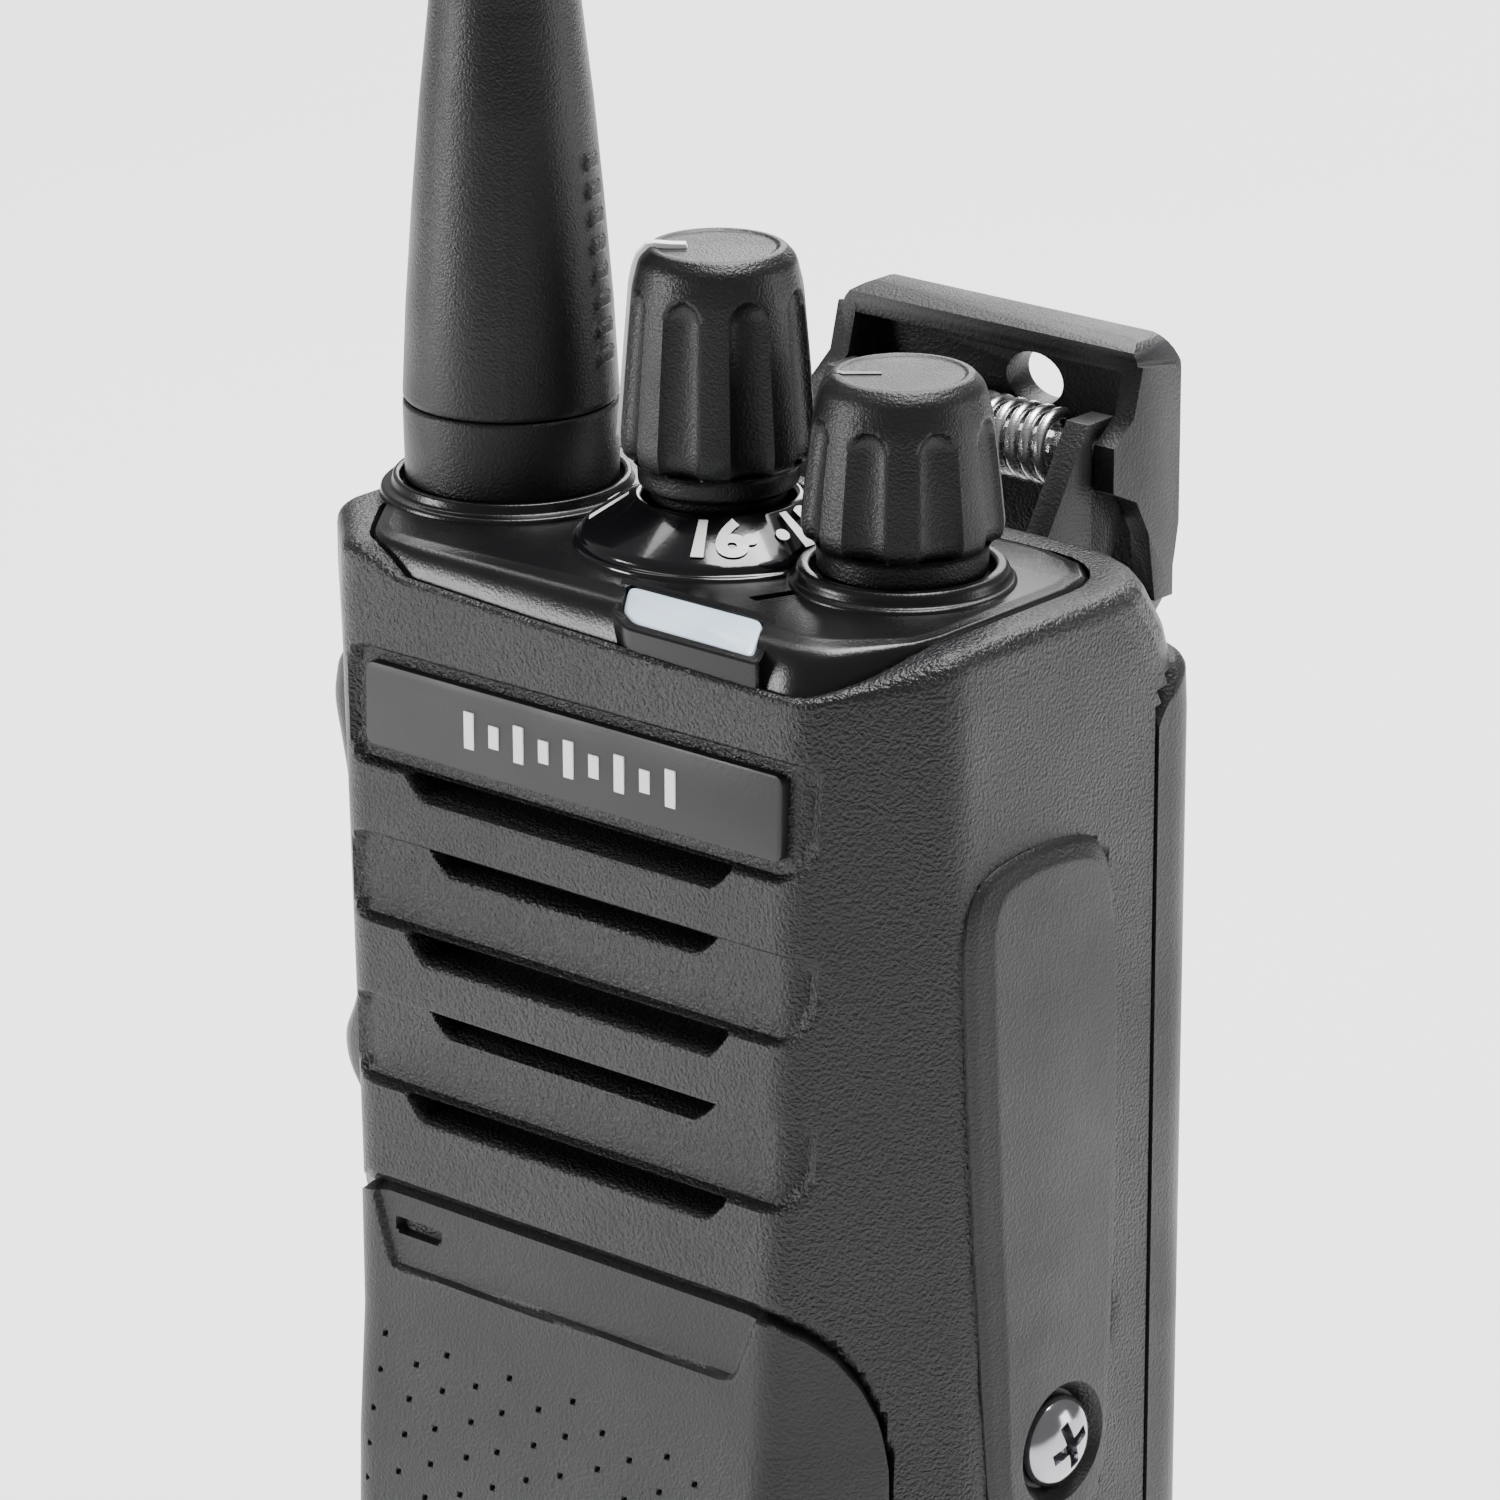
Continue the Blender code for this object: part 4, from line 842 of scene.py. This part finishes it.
def painted(name, flat_points, faces, bearing):
    """Paint on the cone: a flat mesh bent to follow it."""
    top = [on_cone(bearing, a, b, PAINT_LIFT) for a, b in flat_points]
    piece(name, np.array(top), faces, "pointer")


def numeral(text, bearing):
    curve = bpy.data.curves.new("numeral", "FONT")
    curve.body = text
    curve.size = NUMERAL_SIZE
    curve.offset = NUMERAL_BOLD
    curve.align_x, curve.align_y = "CENTER", "CENTER"
    curve.resolution_u = 5
    obj = bpy.data.objects.new("numeral", curve)
    bpy.context.scene.collection.objects.link(obj)
    bpy.context.view_layer.update()
    mesh = bpy.data.meshes.new_from_object(obj.evaluated_get(bpy.context.evaluated_depsgraph_get()))
    bpy.data.objects.remove(obj)
    work = bmesh.new()
    work.from_mesh(mesh)
    bmesh.ops.remove_doubles(work, verts=work.verts, dist=0.001)
    bmesh.ops.triangulate(work, faces=work.faces)
    bmesh.ops.subdivide_edges(work, edges=work.edges, cuts=2, use_grid_fill=True)
    flat = [(vertex.co.x, vertex.co.y) for vertex in work.verts]
    work.verts.index_update()
    faces = [tuple(vertex.index for vertex in face.verts) for face in work.faces]
    work.free()
    painted(f"dial_numeral_{text}", flat, faces, bearing)


def dot(number, bearing):
    turns = [2 * math.pi * step / 20 for step in range(20)]
    flat = [(0.0, 0.0)] + [(DOT_RADIUS * math.cos(turn), DOT_RADIUS * math.sin(turn)) for turn in turns]
    faces = [(0, 1 + step, 1 + (step + 1) % 20) for step in range(20)]
    painted(f"dial_dot_{number}", flat, faces, bearing)


def sampled(profile, spacing):
    """A profile with extra points no further apart than the spacing."""
    result = [profile[0]]
    for (r0, z0), (r1, z1) in zip(profile, profile[1:]):
        steps = max(1, int(math.ceil(math.hypot(r1 - r0, z1 - z0) / spacing)))
        result += [(r0 + (r1 - r0) * k / steps, z0 + (z1 - z0) * k / steps) for k in range(1, steps + 1)]
    return result


def knob(name, centre, base, profile, flute_z, body, nodes):
    """A fluted cap: eight hollows that end in round tops under a smooth shoulder."""
    profile = sampled(rounded_profile([(radius, base + height) for radius, height in profile], 0.55, 6), 0.22)
    sides = FLUTES * FLUTE_COLUMNS
    turns = np.arange(sides) * 2 * math.pi / sides + POINTER_BEARING
    rings = []
    for radius, z in profile:
        place = abs(((turns - POINTER_BEARING) / (2 * math.pi / FLUTES)) % 1.0 - 0.5) * 2
        above = max(0.0, (z - flute_z[1]) / FLUTE_END)
        hollow = np.sqrt(np.clip(1 - (place / FLUTE_SHARE) ** 2 - above ** 2, 0.0, 1.0))
        share = 1.0 if z > flute_z[0] else 0.0
        reach = radius - FLUTE_DEPTH * hollow * share * min(1.0, radius / 4)
        rings.append(ring_about(centre, reach, turns, z))
    points, faces = lofted(rings, cap_start=False, cap_end=True)
    piece(name, points, faces, "rubber", body=body, replaced=nodes, angle=50.0)


FLUTES = 8
FLUTE_COLUMNS = 26
FLUTE_SHARE = 0.58
FLUTE_DEPTH = 0.75
FLUTE_END = 1.5
STRIPE_TURN = 0.03

# Profiles of (radius, height above the base), and lines of (radius, z).
CHANNEL_BASE, VOLUME_BASE = 124.0, 123.5
CHANNEL_PROFILE = ((4.4, 0.0), (4.6, 2.8), (5.35, 2.95), (5.4, 4.4), (6.3, 4.9), (6.5, 6.0), (6.1, 11.0),
                   (5.65, 16.4), (5.2, 18.3), (4.5, 19.0), (4.1, 19.05), (3.9, 18.9), (0.4, 18.9))
VOLUME_PROFILE = ((5.3, 0.0), (5.6, 0.3), (5.65, 2.3), (6.5, 2.7), (6.65, 3.6), (6.3, 7.0), (5.8, 11.0),
                  (5.3, 12.8), (4.6, 13.5), (4.2, 13.55), (4.0, 13.42), (0.4, 13.42))
CHANNEL_LINE = [(6.52, 130.2), (6.12, 135.0), (5.68, 140.4), (5.45, 141.6), (5.1, 142.5), (4.6, 143.05),
                (4.1, 143.12), (3.0, 143.02), (2.0, 143.0)]
VOLUME_LINE = [(4.9, 136.72), (4.4, 137.02), (4.1, 137.04), (3.9, 136.96), (1.4, 136.96)]


def knobs():
    """Both caps, with a white line on the channel knob and a dark mark on the volume knob."""
    knob("channel_cap", CHANNEL, CHANNEL_BASE, CHANNEL_PROFILE, (128.6, 139.0), "channel_control",
         ("channel_knob",))
    knob("volume_cap", VOLUME, VOLUME_BASE, VOLUME_PROFILE, (125.9, 133.0), "volume_control",
         ("volume_knob",))
    stripe("channel_line", CHANNEL, sampled(CHANNEL_LINE, 0.4), 0.4, 0.2, "pointer", "channel_control",
           ("channel_pointer",))
    stripe("volume_line", VOLUME, sampled(VOLUME_LINE, 0.4), 0.28, 0.05, "deck", "volume_control", ())


def stripe(name, centre, line, half, lift, slot, body, nodes):
    """A narrow raised band along a knob's profile at the pointer's bearing."""
    bearing = POINTER_BEARING + STRIPE_TURN
    outward = Vector((math.cos(bearing), math.sin(bearing)))
    across = Vector((-outward.y, outward.x))
    rings = []
    for radius, z in line:
        steep = 1.0 if radius > 5.0 else 0.3
        out = radius + lift * steep
        high = z + lift * (1.2 - steep)
        corners = []
        for a, sink in ((-half, 0.5), (-half, 0.0), (half, 0.0), (half, 0.5)):
            place = outward * (out - sink * steep) + across * a
            corners.append((centre[0] + place.x, centre[1] + place.y, high - sink * (1.0 - steep)))
        rings.append(corners)
    points, faces = lofted(rings)
    piece(name, points, faces, slot, body=body, replaced=nodes)


WHIP = ((7.2, 129.55), (7.34, 129.75), (7.02, 136.0), (6.47, 143.0), (5.83, 150.0), (5.05, 157.0),
        (4.62, 165.0), (4.25, 180.0), (3.8, 210.0), (3.3, 268.0), (2.9, 270.2), (2.0, 271.8), (0.5, 272.4))
RIBBED_TO = 157.0
RIBS_Z = (132.0, 147.0)
RIB_PITCH = 1.9
RIB_BEARING = math.radians(16)
SEAM_BEARING = math.radians(311)
WHIP_SIDES = 160
SLEEVE = ((6.6, 122.8), (6.95, 123.0), (7.28, 123.5), (7.36, 129.2), (7.2, 129.45), (6.2, 129.5))


def antenna():
    """The sleeve and the whip, which has a ladder of plain ribs and a faint mould line."""
    points, faces = turned(rounded_profile(SLEEVE, 0.2), ANTENNA, 128, caps=(False, True))
    piece("antenna_base", points, faces, "rubber", replaced=("antenna_sleeve",))
    lower = [point for point in WHIP if point[1] <= RIBBED_TO]
    upper = [point for point in WHIP if point[1] >= RIBBED_TO]
    fine = sampled(lower, 0.28) + sampled(upper, 3.0)[1:]
    turns = np.arange(WHIP_SIDES) * 2 * math.pi / WHIP_SIDES
    rings = []
    for radius, z in fine:
        seam = 0.05 * np.exp(-((turns - SEAM_BEARING) / 0.02) ** 2) * (z > 130)
        swell = rib_height(turns, z) + seam
        reach = radius + swell
        rings.append(ring_about(ANTENNA, reach, turns, z))
    points, faces = lofted(rings)
    piece("antenna_rod", points, faces, "rubber", replaced=("antenna_whip",))


def rib_height(turns, z):
    """A ladder of short raised ribs up the antenna's right side."""
    angle = abs(turns - RIB_BEARING)
    band = step_between(-angle, -0.19, -0.13)
    phase = ((z - RIBS_Z[0]) / RIB_PITCH) % 1.0
    rung = float(0.25 < phase < 0.75) if RIBS_Z[0] < z < RIBS_Z[1] else 0.0
    return 0.28 * band * rung


BADGE_Y = -16.45
BADGE_SLOPE = 0.026
BADGE_BAR_Z = 111.9
BADGE_BARS = 9


def badge():
    """A plain plate that leans with the front, with a row of plain bars."""
    outline = round_corners([(-17.9, 109.0), (18.4, 109.0), (18.4, 114.8), (-17.9, 114.8)], 0.7)
    data = bevelled(slab(outline, "y", BADGE_Y, BADGE_Y + 0.9), 0.12, 2, 60)
    for vertex in data.vertices:
        vertex.co.y -= (vertex.co.z / MM - 113.0) * -BADGE_SLOPE * MM
    finished("badge_face", data, "badge", replaced=("badge_plate",))
    face = BADGE_Y + BADGE_SLOPE * (BADGE_BAR_Z - 113.0) * -1
    for number in range(BADGE_BARS):
        x = -9.0 + 2.2 * number
        half = (2.6 if number % 2 == 0 else 1.6) / 2
        bar = block((x, x + 0.9), (face - 0.12, face + 0.2), (BADGE_BAR_Z - half, BADGE_BAR_Z + half))
        finished(f"badge_bar_{number + 1}", bevelled(bar, 0.04, 1), "pointer")


# How far each ring of the lens stands out from its outline, and how far it lies below its face.
LENS_STEPS = ((0.0, 1.6), (0.0, 0.25), (-0.12, 0.07), (-0.35, 0.0))


def lens():
    """The status lens, with a softened top edge."""
    outline = round_corners(LENS_OUTLINE, 0.7, 4)
    middle = np.mean(outline, axis=0)
    rings = []
    for grow, drop in LENS_STEPS:
        ring = []
        for a, b in outline:
            to = np.array([a, b]) - middle
            a, b = middle + to * (1 + grow / np.linalg.norm(to))
            ring.append((a, b, lens_plane_z(b) - drop))
        rings.append(ring)
    points, faces = lofted(rings)
    piece("status_lens", points, faces, "lens", replaced=("led_lens",))


# ---------------------------------------------------------------- sides

def cover():
    """The accessory cover: a sloped slab with a dish for its screw."""
    outer, inner = softened(COVER_OUTER), softened(COVER_INNER)
    rings = [[(26.0, y, z) for y, z in outer], [(27.05, y, z) for y, z in outer]]
    for share, x in COVER_STEPS:
        ring = outer * (1 - share) + inner * share
        rings.append([(x, y, z) for y, z in ring])
    base = mesh_from(*lofted(rings))
    dish = mesh_from(*turned([(3.45, 26.6), (3.6, 27.0), (4.6, 28.3)], SCREW, 64, "x"))
    finished("socket_cover", solved(base, [(dish, "DIFFERENCE")]), "case", look="battery",
             replaced=("accessory_cover",), angle=30.0)


SCREW_PROFILE = [(1.3, 25.0), (1.3, 26.7), (3.2, 26.75), (3.2, 27.3), (3.05, 27.65), (2.6, 28.1),
                 (1.9, 28.45), (1.0, 28.65), (0.3, 28.7)]
SCREW_TURN = 0.35


def screw():
    """The cover's domed screw with a cross recess."""
    head = mesh_from(*turned(sampled(SCREW_PROFILE, 0.4), SCREW, 64, "x"))
    y, z = SCREW
    tools = []
    for turn in (SCREW_TURN, SCREW_TURN + math.pi / 2):
        arm = block((27.4, 29.5), (-0.42, 0.42), (-1.75, 1.75))
        arm.transform(Matrix.Translation(Vector((0, y, z)) * MM) @ Matrix.Rotation(turn, 4, "X"))
        tools.append((arm, "DIFFERENCE"))
    data = bevelled(solved(head, tools), 0.07, 2, 50)
    finished("cover_screw", data, "chrome", replaced=("accessory_screw",))


KEY_EDGE_X = 26.4
KEY_BACK_X = -25.6
KEY_RIB = 0.25


def key_surface(name, low, high, face, y_range, body, node, ribs):
    """A crowned key on the left side whose face follows a profile."""
    z = np.linspace(low, high, 110)
    y = np.linspace(y_range[0], y_range[1], 46)
    ys, zs = np.meshgrid(y, z)
    middle, half = sum(y_range) / 2, (y_range[1] - y_range[0]) / 2
    crown = np.power(np.clip(1 - np.power(abs(ys - middle) / half, 6), 0, 1), 0.5)
    ends = np.power(np.clip(1 - np.power(abs(zs - (low + high) / 2) / ((high - low) / 2), 16), 0, 1), 0.5)
    x = -KEY_EDGE_X - (face(zs) - KEY_EDGE_X) * np.minimum(crown, ends)
    for centre in ribs:
        across = step_between(-abs(ys - middle), -half + 1.2, -half + 1.8)
        x -= KEY_RIB * step_between(-abs(zs - centre), -0.35, -0.1) * across
    points = np.stack([x, ys, zs], -1).reshape(-1, 3)
    rows, count = ys.shape
    faces = grid_faces(rows, count)
    border = border_of(rows, count)
    back = points[border].copy()
    back[:, 0] = KEY_BACK_X
    start = len(points)
    points, faces = folded_back(points, faces, border, back)
    faces.append(tuple(range(start, start + len(border))))
    piece(name, points, faces, "rubber", body=body, replaced=(node,))


def talk_bar_face(z):
    """The talk bar's face, smoothed over a few heights round z."""
    return sum(np.interp(z + shift, PTT_FACE_Z, PTT_FACE_X) for shift in (-0.8, -0.4, 0.0, 0.4, 0.8)) / 5


def small_key_face(z):
    return SIDE_KEY_FACE_X + 0 * z


def keys():
    key_surface("talk_bar", *PTT_Z, talk_bar_face, KEY_Y, "ptt", "ptt_button", (93.2, 94.8, 96.4))
    y_range = (KEY_Y[0] + 0.6, KEY_Y[1] - 0.6)
    for number, (node, (low, high)) in enumerate(SIDE_KEYS.items(), 1):
        ribs = [low + 3.5 + 1.1 * (k - (number - 1) / 2) for k in range(number)]
        key_surface(f"small_key_{number}", low, high, small_key_face, y_range, f"key_{number}", node, ribs)


# ---------------------------------------------------------------- rear

BATTERY_HALF = 27.05
BATTERY_RADIUS = 3.6
BATTERY_REAR = 17.05
BATTERY_COLUMNS = (4, 8, 60)
BATTERY_ROWS = 300


def battery_columns():
    """(part, share along it, side) of each column: side, corner and rear, then the same mirrored."""
    right = [(0, 0.0)]
    for part, count in enumerate(BATTERY_COLUMNS):
        right += [(part, step / count) for step in range(1, count + 1)]
    columns = [(part, t, 1.0) for part, t in right] + [(part, t, -1.0) for part, t in reversed(right[:-1])]
    return (np.array(values) for values in zip(*columns))


def battery():
    """The pack's outer shell: its upper edge climbs round the case's shoulder."""
    part, t, side = battery_columns()
    share = np.linspace(0, 1, BATTERY_ROWS)[:, None]
    turn = t * math.pi / 2
    flat_half, corner_y = BATTERY_HALF - BATTERY_RADIUS, BATTERY_REAR - BATTERY_RADIUS
    on_side, on_corner = part == 0, part == 1
    x = np.where(on_corner, flat_half + BATTERY_RADIUS * np.cos(turn), flat_half * (1 - t))
    x = np.where(on_side, BATTERY_HALF, x)
    y = np.where(on_corner, corner_y + BATTERY_RADIUS * np.sin(turn), BATTERY_REAR)
    y = np.where(on_side, BATTERY_SEAM_Y + (corner_y - BATTERY_SEAM_Y) * t, y)
    normal_x = np.where(on_side, 1.0, np.where(on_corner, np.cos(turn), 0.0)) * side
    normal_y = np.where(on_side, 0.0, np.where(on_corner, np.sin(turn), 1.0))
    top = np.interp(y, BATTERY_TOP_Y, BATTERY_TOP_Z)
    z = BATTERY_BOTTOM + (top - BATTERY_BOTTOM) * share
    shrink = station(z)[3] - STATIONS[-3, 4]
    across = x * side + 0 * z
    edge = np.minimum(top - z, z - BATTERY_BOTTOM)
    depth = 0.7 * (1 - step_between(edge, 0.0, 0.6)) + battery_relief(across, z) * (part == 2)
    px, py = across - normal_x * depth, y + shrink * (part > 0) - normal_y * depth
    points = np.stack([px, py, z], -1)
    lip = np.stack([px * 0.975, np.full(z.shape, BATTERY_SEAM_Y + 0.02), z], -1)
    ring = np.concatenate([points, lip[:, ::-1]], axis=1)
    rows, count = ring.shape[:2]
    faces = grid_faces(rows, count, wrap=True)
    faces += [tuple(range(count)), tuple((rows - 1) * count + k for k in range(count))]
    pocket = block((-6.9, 6.9), (12.0, 18.0), (0.0, 20.8))
    data = solved(mesh_from(ring.reshape(-1, 3), faces), [(pocket, "DIFFERENCE")])
    finished("battery_shell", data, "battery", replaced=("battery_case",))


def battery_relief(x, z):
    """A shallow field, grip ribs and two long narrow grooves on the pack's rear."""
    field = np.maximum(abs(x) - 19.0, abs(z - 50.0) - 22.0)
    depth = 0.5 * step_between(-field, 0.0, 0.4)
    for number in range(6):
        rib = np.maximum(abs(x) - 15.0, abs(z - 31.0 - 1.6 * number) - 0.35)
        depth -= 0.35 * step_between(-rib, -0.1, 0.15)
    for side in (-1, 1):
        rail = np.maximum(abs(x - side * 22.0) - 0.5, abs(z - 60.0) - 48.0)
        depth += 0.4 * step_between(-rail, -0.1, 0.25)
    return depth


LATCH_HALF = 6.4
LATCH_RIBS_Z = (8.2, 9.9, 11.6, 13.3, 15.0)


def latch():
    """The battery latch: a ribbed thumb plate on its slider."""
    outline = [(-LATCH_HALF, 6.6), (LATCH_HALF, 6.6), (LATCH_HALF, 17.9), (-LATCH_HALF, 17.9)]
    plate = slab(round_corners(outline, 0.8), "y", 16.6, 17.4)
    tools = [(block((-5.0, 5.0), (17.3, 17.9), (z, z + 0.7)), "UNION") for z in LATCH_RIBS_Z]
    inner = LATCH_HALF - 0.1
    tools.append((block((-inner, inner), (12.7, 14.1), (1.2, 12.4)), "UNION"))
    tools.append((block((-inner, inner), (13.9, 16.8), (6.8, 12.4)), "UNION"))
    finished("latch_slider", bevelled(solved(plate, tools), 0.14, 2, 50), "rubber", body="latch",
             replaced=("battery_latch",))


LEVER_PROFILE = ((28.9, 132.4), (27.4, 131.8), (27.2, 130.4), (29.4, 129.8), (29.7, 119.0), (27.8, 108.0),
                 (25.2, 72.0), (23.2, 66.0), (24.2, 64.4), (27.2, 69.0), (29.8, 107.0), (32.0, 119.0),
                 (32.0, 130.4), (31.0, 132.4))


LEVER_HALF = 13.1
LEVER_KEEP = ((-9.2, 60.0), (9.2, 60.0), (9.2, 108.0), (LEVER_HALF, 114.0), (LEVER_HALF, 132.5),
              (-LEVER_HALF, 132.5), (-LEVER_HALF, 114.0), (-9.2, 108.0))
EAR_OUTLINE = ((29.0, 114.0), (31.0, 114.0), (31.0, 130.4), (27.3, 131.0), (26.4, 127.6), (24.2, 126.0),
               (24.2, 122.8), (26.8, 121.6), (28.2, 119.0))
CHEEK_OUTLINE = ((17.3, 96.0), (19.4, 96.0), (24.5, 113.0), (28.6, 121.6), (28.6, 126.2), (26.6, 127.4),
                 (23.8, 127.4), (17.3, 117.0))
STAY_OUTLINE = ((17.3, 111.0), (20.2, 111.0), (22.0, 119.6), (20.2, 119.6), (17.3, 116.0))
HINGE = (26.0, 124.5)
HINGE_HOLE = 1.72


def hinge_hole(half):
    return mesh_from(*turned([(HINGE_HOLE, -half), (HINGE_HOLE, half)], HINGE, 32, "x"))


def mirrored_slabs(outline, near, far):
    """A slab on the right from x near to far, and its mirror image on the left."""
    return [(slab(outline, "x", *sorted((side * near, side * far))), "UNION") for side in (-1, 1)]


def clip_lever():
    """The clip's plate with forward ears at its head, a lanyard hole and a ribbed tongue."""
    base = slab(LEVER_PROFILE, "x", -LEVER_HALF, LEVER_HALF)
    tools = [(slab(round_corners(LEVER_KEEP, 2.6, 6), "y", 20.0, 36.0), "INTERSECT")]
    tools += mirrored_slabs(EAR_OUTLINE, 11.75, 13.4)
    turns = np.linspace(0, 2 * math.pi, 33)[:-1]
    hole = [(2.4 + 2.5 * math.cos(turn), 127.7 + 1.9 * math.sin(turn)) for turn in turns]
    tools.append((slab(hole, "y", 24.0, 36.0), "DIFFERENCE"))
    tools.append((hinge_hole(12.9), "DIFFERENCE"))
    tools += [(block((-6.5, 6.5), (31.7, 33.0), (z, z + 0.9)), "DIFFERENCE") for z in (121.0, 122.8, 124.6)]
    data = bevelled(solved(base, tools), 0.45, 3, 40)
    finished("clip_plate", data, "case", body="clip", look="battery", replaced=("clip_lever",), angle=40.0)


def clip_bracket():
    """The clip's bracket: a base plate with two slanted cheeks, a cross rib and two stays."""
    outline = [(-11.5, 80.0), (11.5, 80.0), (11.5, 112.0), (-11.5, 112.0)]
    plate = slab(round_corners(outline, 1.5), "y", 17.3, 19.3)
    tools = mirrored_slabs(CHEEK_OUTLINE, 9.6, 11.5)
    tools.append((block((-9.7, 9.7), (17.3, 20.4), (112.0, 116.0)), "UNION"))
    tools += mirrored_slabs(STAY_OUTLINE, 2.6, 4.0)
    tools.append((hinge_hole(15), "DIFFERENCE"))
    data = bevelled(solved(plate, tools), 0.3, 2, 40)
    finished("clip_base", data, "case", look="battery", replaced=("clip_bracket",), angle=40.0)


COIL_TURNS, COIL_STEPS, COIL_SIDES = 13, 28, 10
COIL_HALF = 8.0
COIL_RADIUS, WIRE_RADIUS = 2.35, 0.45


def clip_coil():
    """The torsion spring's coil between the bracket's cheeks."""
    steps = COIL_TURNS * COIL_STEPS
    along = Vector((1, 0, 0))
    angles = [2 * math.pi * side / COIL_SIDES for side in range(COIL_SIDES)]
    rings = []
    for step in range(steps + 1):
        turn = 2 * math.pi * step / COIL_STEPS
        out = Vector((0, math.cos(turn), math.sin(turn)))
        centre = Vector((COIL_HALF * (2 * step / steps - 1), *HINGE)) + out * COIL_RADIUS
        spokes = [out * math.cos(angle) + along * math.sin(angle) for angle in angles]
        rings.append([tuple(centre + spoke * WIRE_RADIUS) for spoke in spokes])
    points, faces = lofted(rings)
    piece("clip_coil", points, faces, "steel", replaced=("clip_spring",))


# ---------------------------------------------------------------- stage

FLOOR = 4.0
WORLD_STRENGTH = 0.35


def stage():
    """The plain floor and the even light round it."""
    data = bpy.data.meshes.new("floor")
    corners = [(-FLOOR, -FLOOR, 0), (FLOOR, -FLOOR, 0), (FLOOR, FLOOR, 0), (-FLOOR, FLOOR, 0)]
    data.from_pydata(corners, [], [(0, 1, 2, 3)])
    data.materials.append(floor_material())
    floor = bpy.data.objects.new("floor", data)
    bpy.context.scene.collection.objects.link(floor)
    world = bpy.data.worlds.new("studio")
    world.use_nodes = True
    background = world.node_tree.nodes["Background"]
    background.inputs["Color"].default_value = (1.0, 1.0, 1.0, 1.0)
    background.inputs["Strength"].default_value = WORLD_STRENGTH
    bpy.context.scene.world = world


# Name, place, target, size and power of each lamp, in metres and watts.
LAMPS = (
    ("backdrop", (-0.35, 0.55, 1.1), (-0.3, 0.45, 0.0), (1.1, 0.9), 26.0),
    ("top_soft", (0.05, 0.1, 0.8), (0.0, 0.0, 0.1), (0.4, 0.3), 10.0),
    ("front_left", (-0.62, -0.72, 0.2), (0.0, 0.0, 0.09), (0.3, 0.2), 6.0),
    ("back_panel", (-0.55, 0.95, 0.45), (0.0, 0.0, 0.12), (0.5, 0.3), 4.0),
    ("right_back", (0.75, 0.6, 0.2), (0.0, 0.0, 0.08), (0.3, 0.4), 2.0),
)


def light(name, place, target, size, power):
    data = bpy.data.lights.new(name, "AREA")
    data.shape = "RECTANGLE"
    data.size, data.size_y = size
    data.energy = power
    obj = bpy.data.objects.new(name, data)
    obj.location = place
    obj.rotation_euler = (Vector(target) - Vector(place)).to_track_quat("-Z", "Y").to_euler()
    bpy.context.scene.collection.objects.link(obj)


CAMERA_PLACE = (0.282285, -0.327368, 0.261214)
CAMERA_TURN = (40.601, 19.515, -0.247)
CAMERA_LENS = 164.33


def camera():
    """The photograph's view: azimuth, downward pitch and roll in degrees."""
    azimuth, pitch, roll = (math.radians(value) for value in CAMERA_TURN)
    level = Vector((math.cos(azimuth), math.sin(azimuth), 0.0))
    ahead = Vector((-math.sin(azimuth), math.cos(azimuth), 0.0))
    forward = ahead * math.cos(pitch) - Vector((0.0, 0.0, math.sin(pitch)))
    up = level.cross(forward)
    right = level * math.cos(roll) + up * math.sin(roll)
    above = up * math.cos(roll) - level * math.sin(roll)
    turn = Matrix((right, above, -forward)).transposed().to_4x4()
    data = bpy.data.cameras.new("camera")
    data.lens, data.sensor_width = CAMERA_LENS, 36.0
    data.clip_start, data.clip_end = 0.01, 20.0
    obj = bpy.data.objects.new("camera", data)
    obj.matrix_world = Matrix.Translation(CAMERA_PLACE) @ turn
    bpy.context.scene.collection.objects.link(obj)
    bpy.context.scene.camera = obj


def build():
    dress_cad()
    case_shell()
    lower_panel()
    deck()
    deck_rings()
    dial()
    knobs()
    antenna()
    badge()
    lens()
    cover()
    screw()
    keys()
    battery()
    latch()
    clip_lever()
    clip_bracket()
    clip_coil()
    stage()
    for facts in LAMPS:
        light(*facts)
    camera()


build()
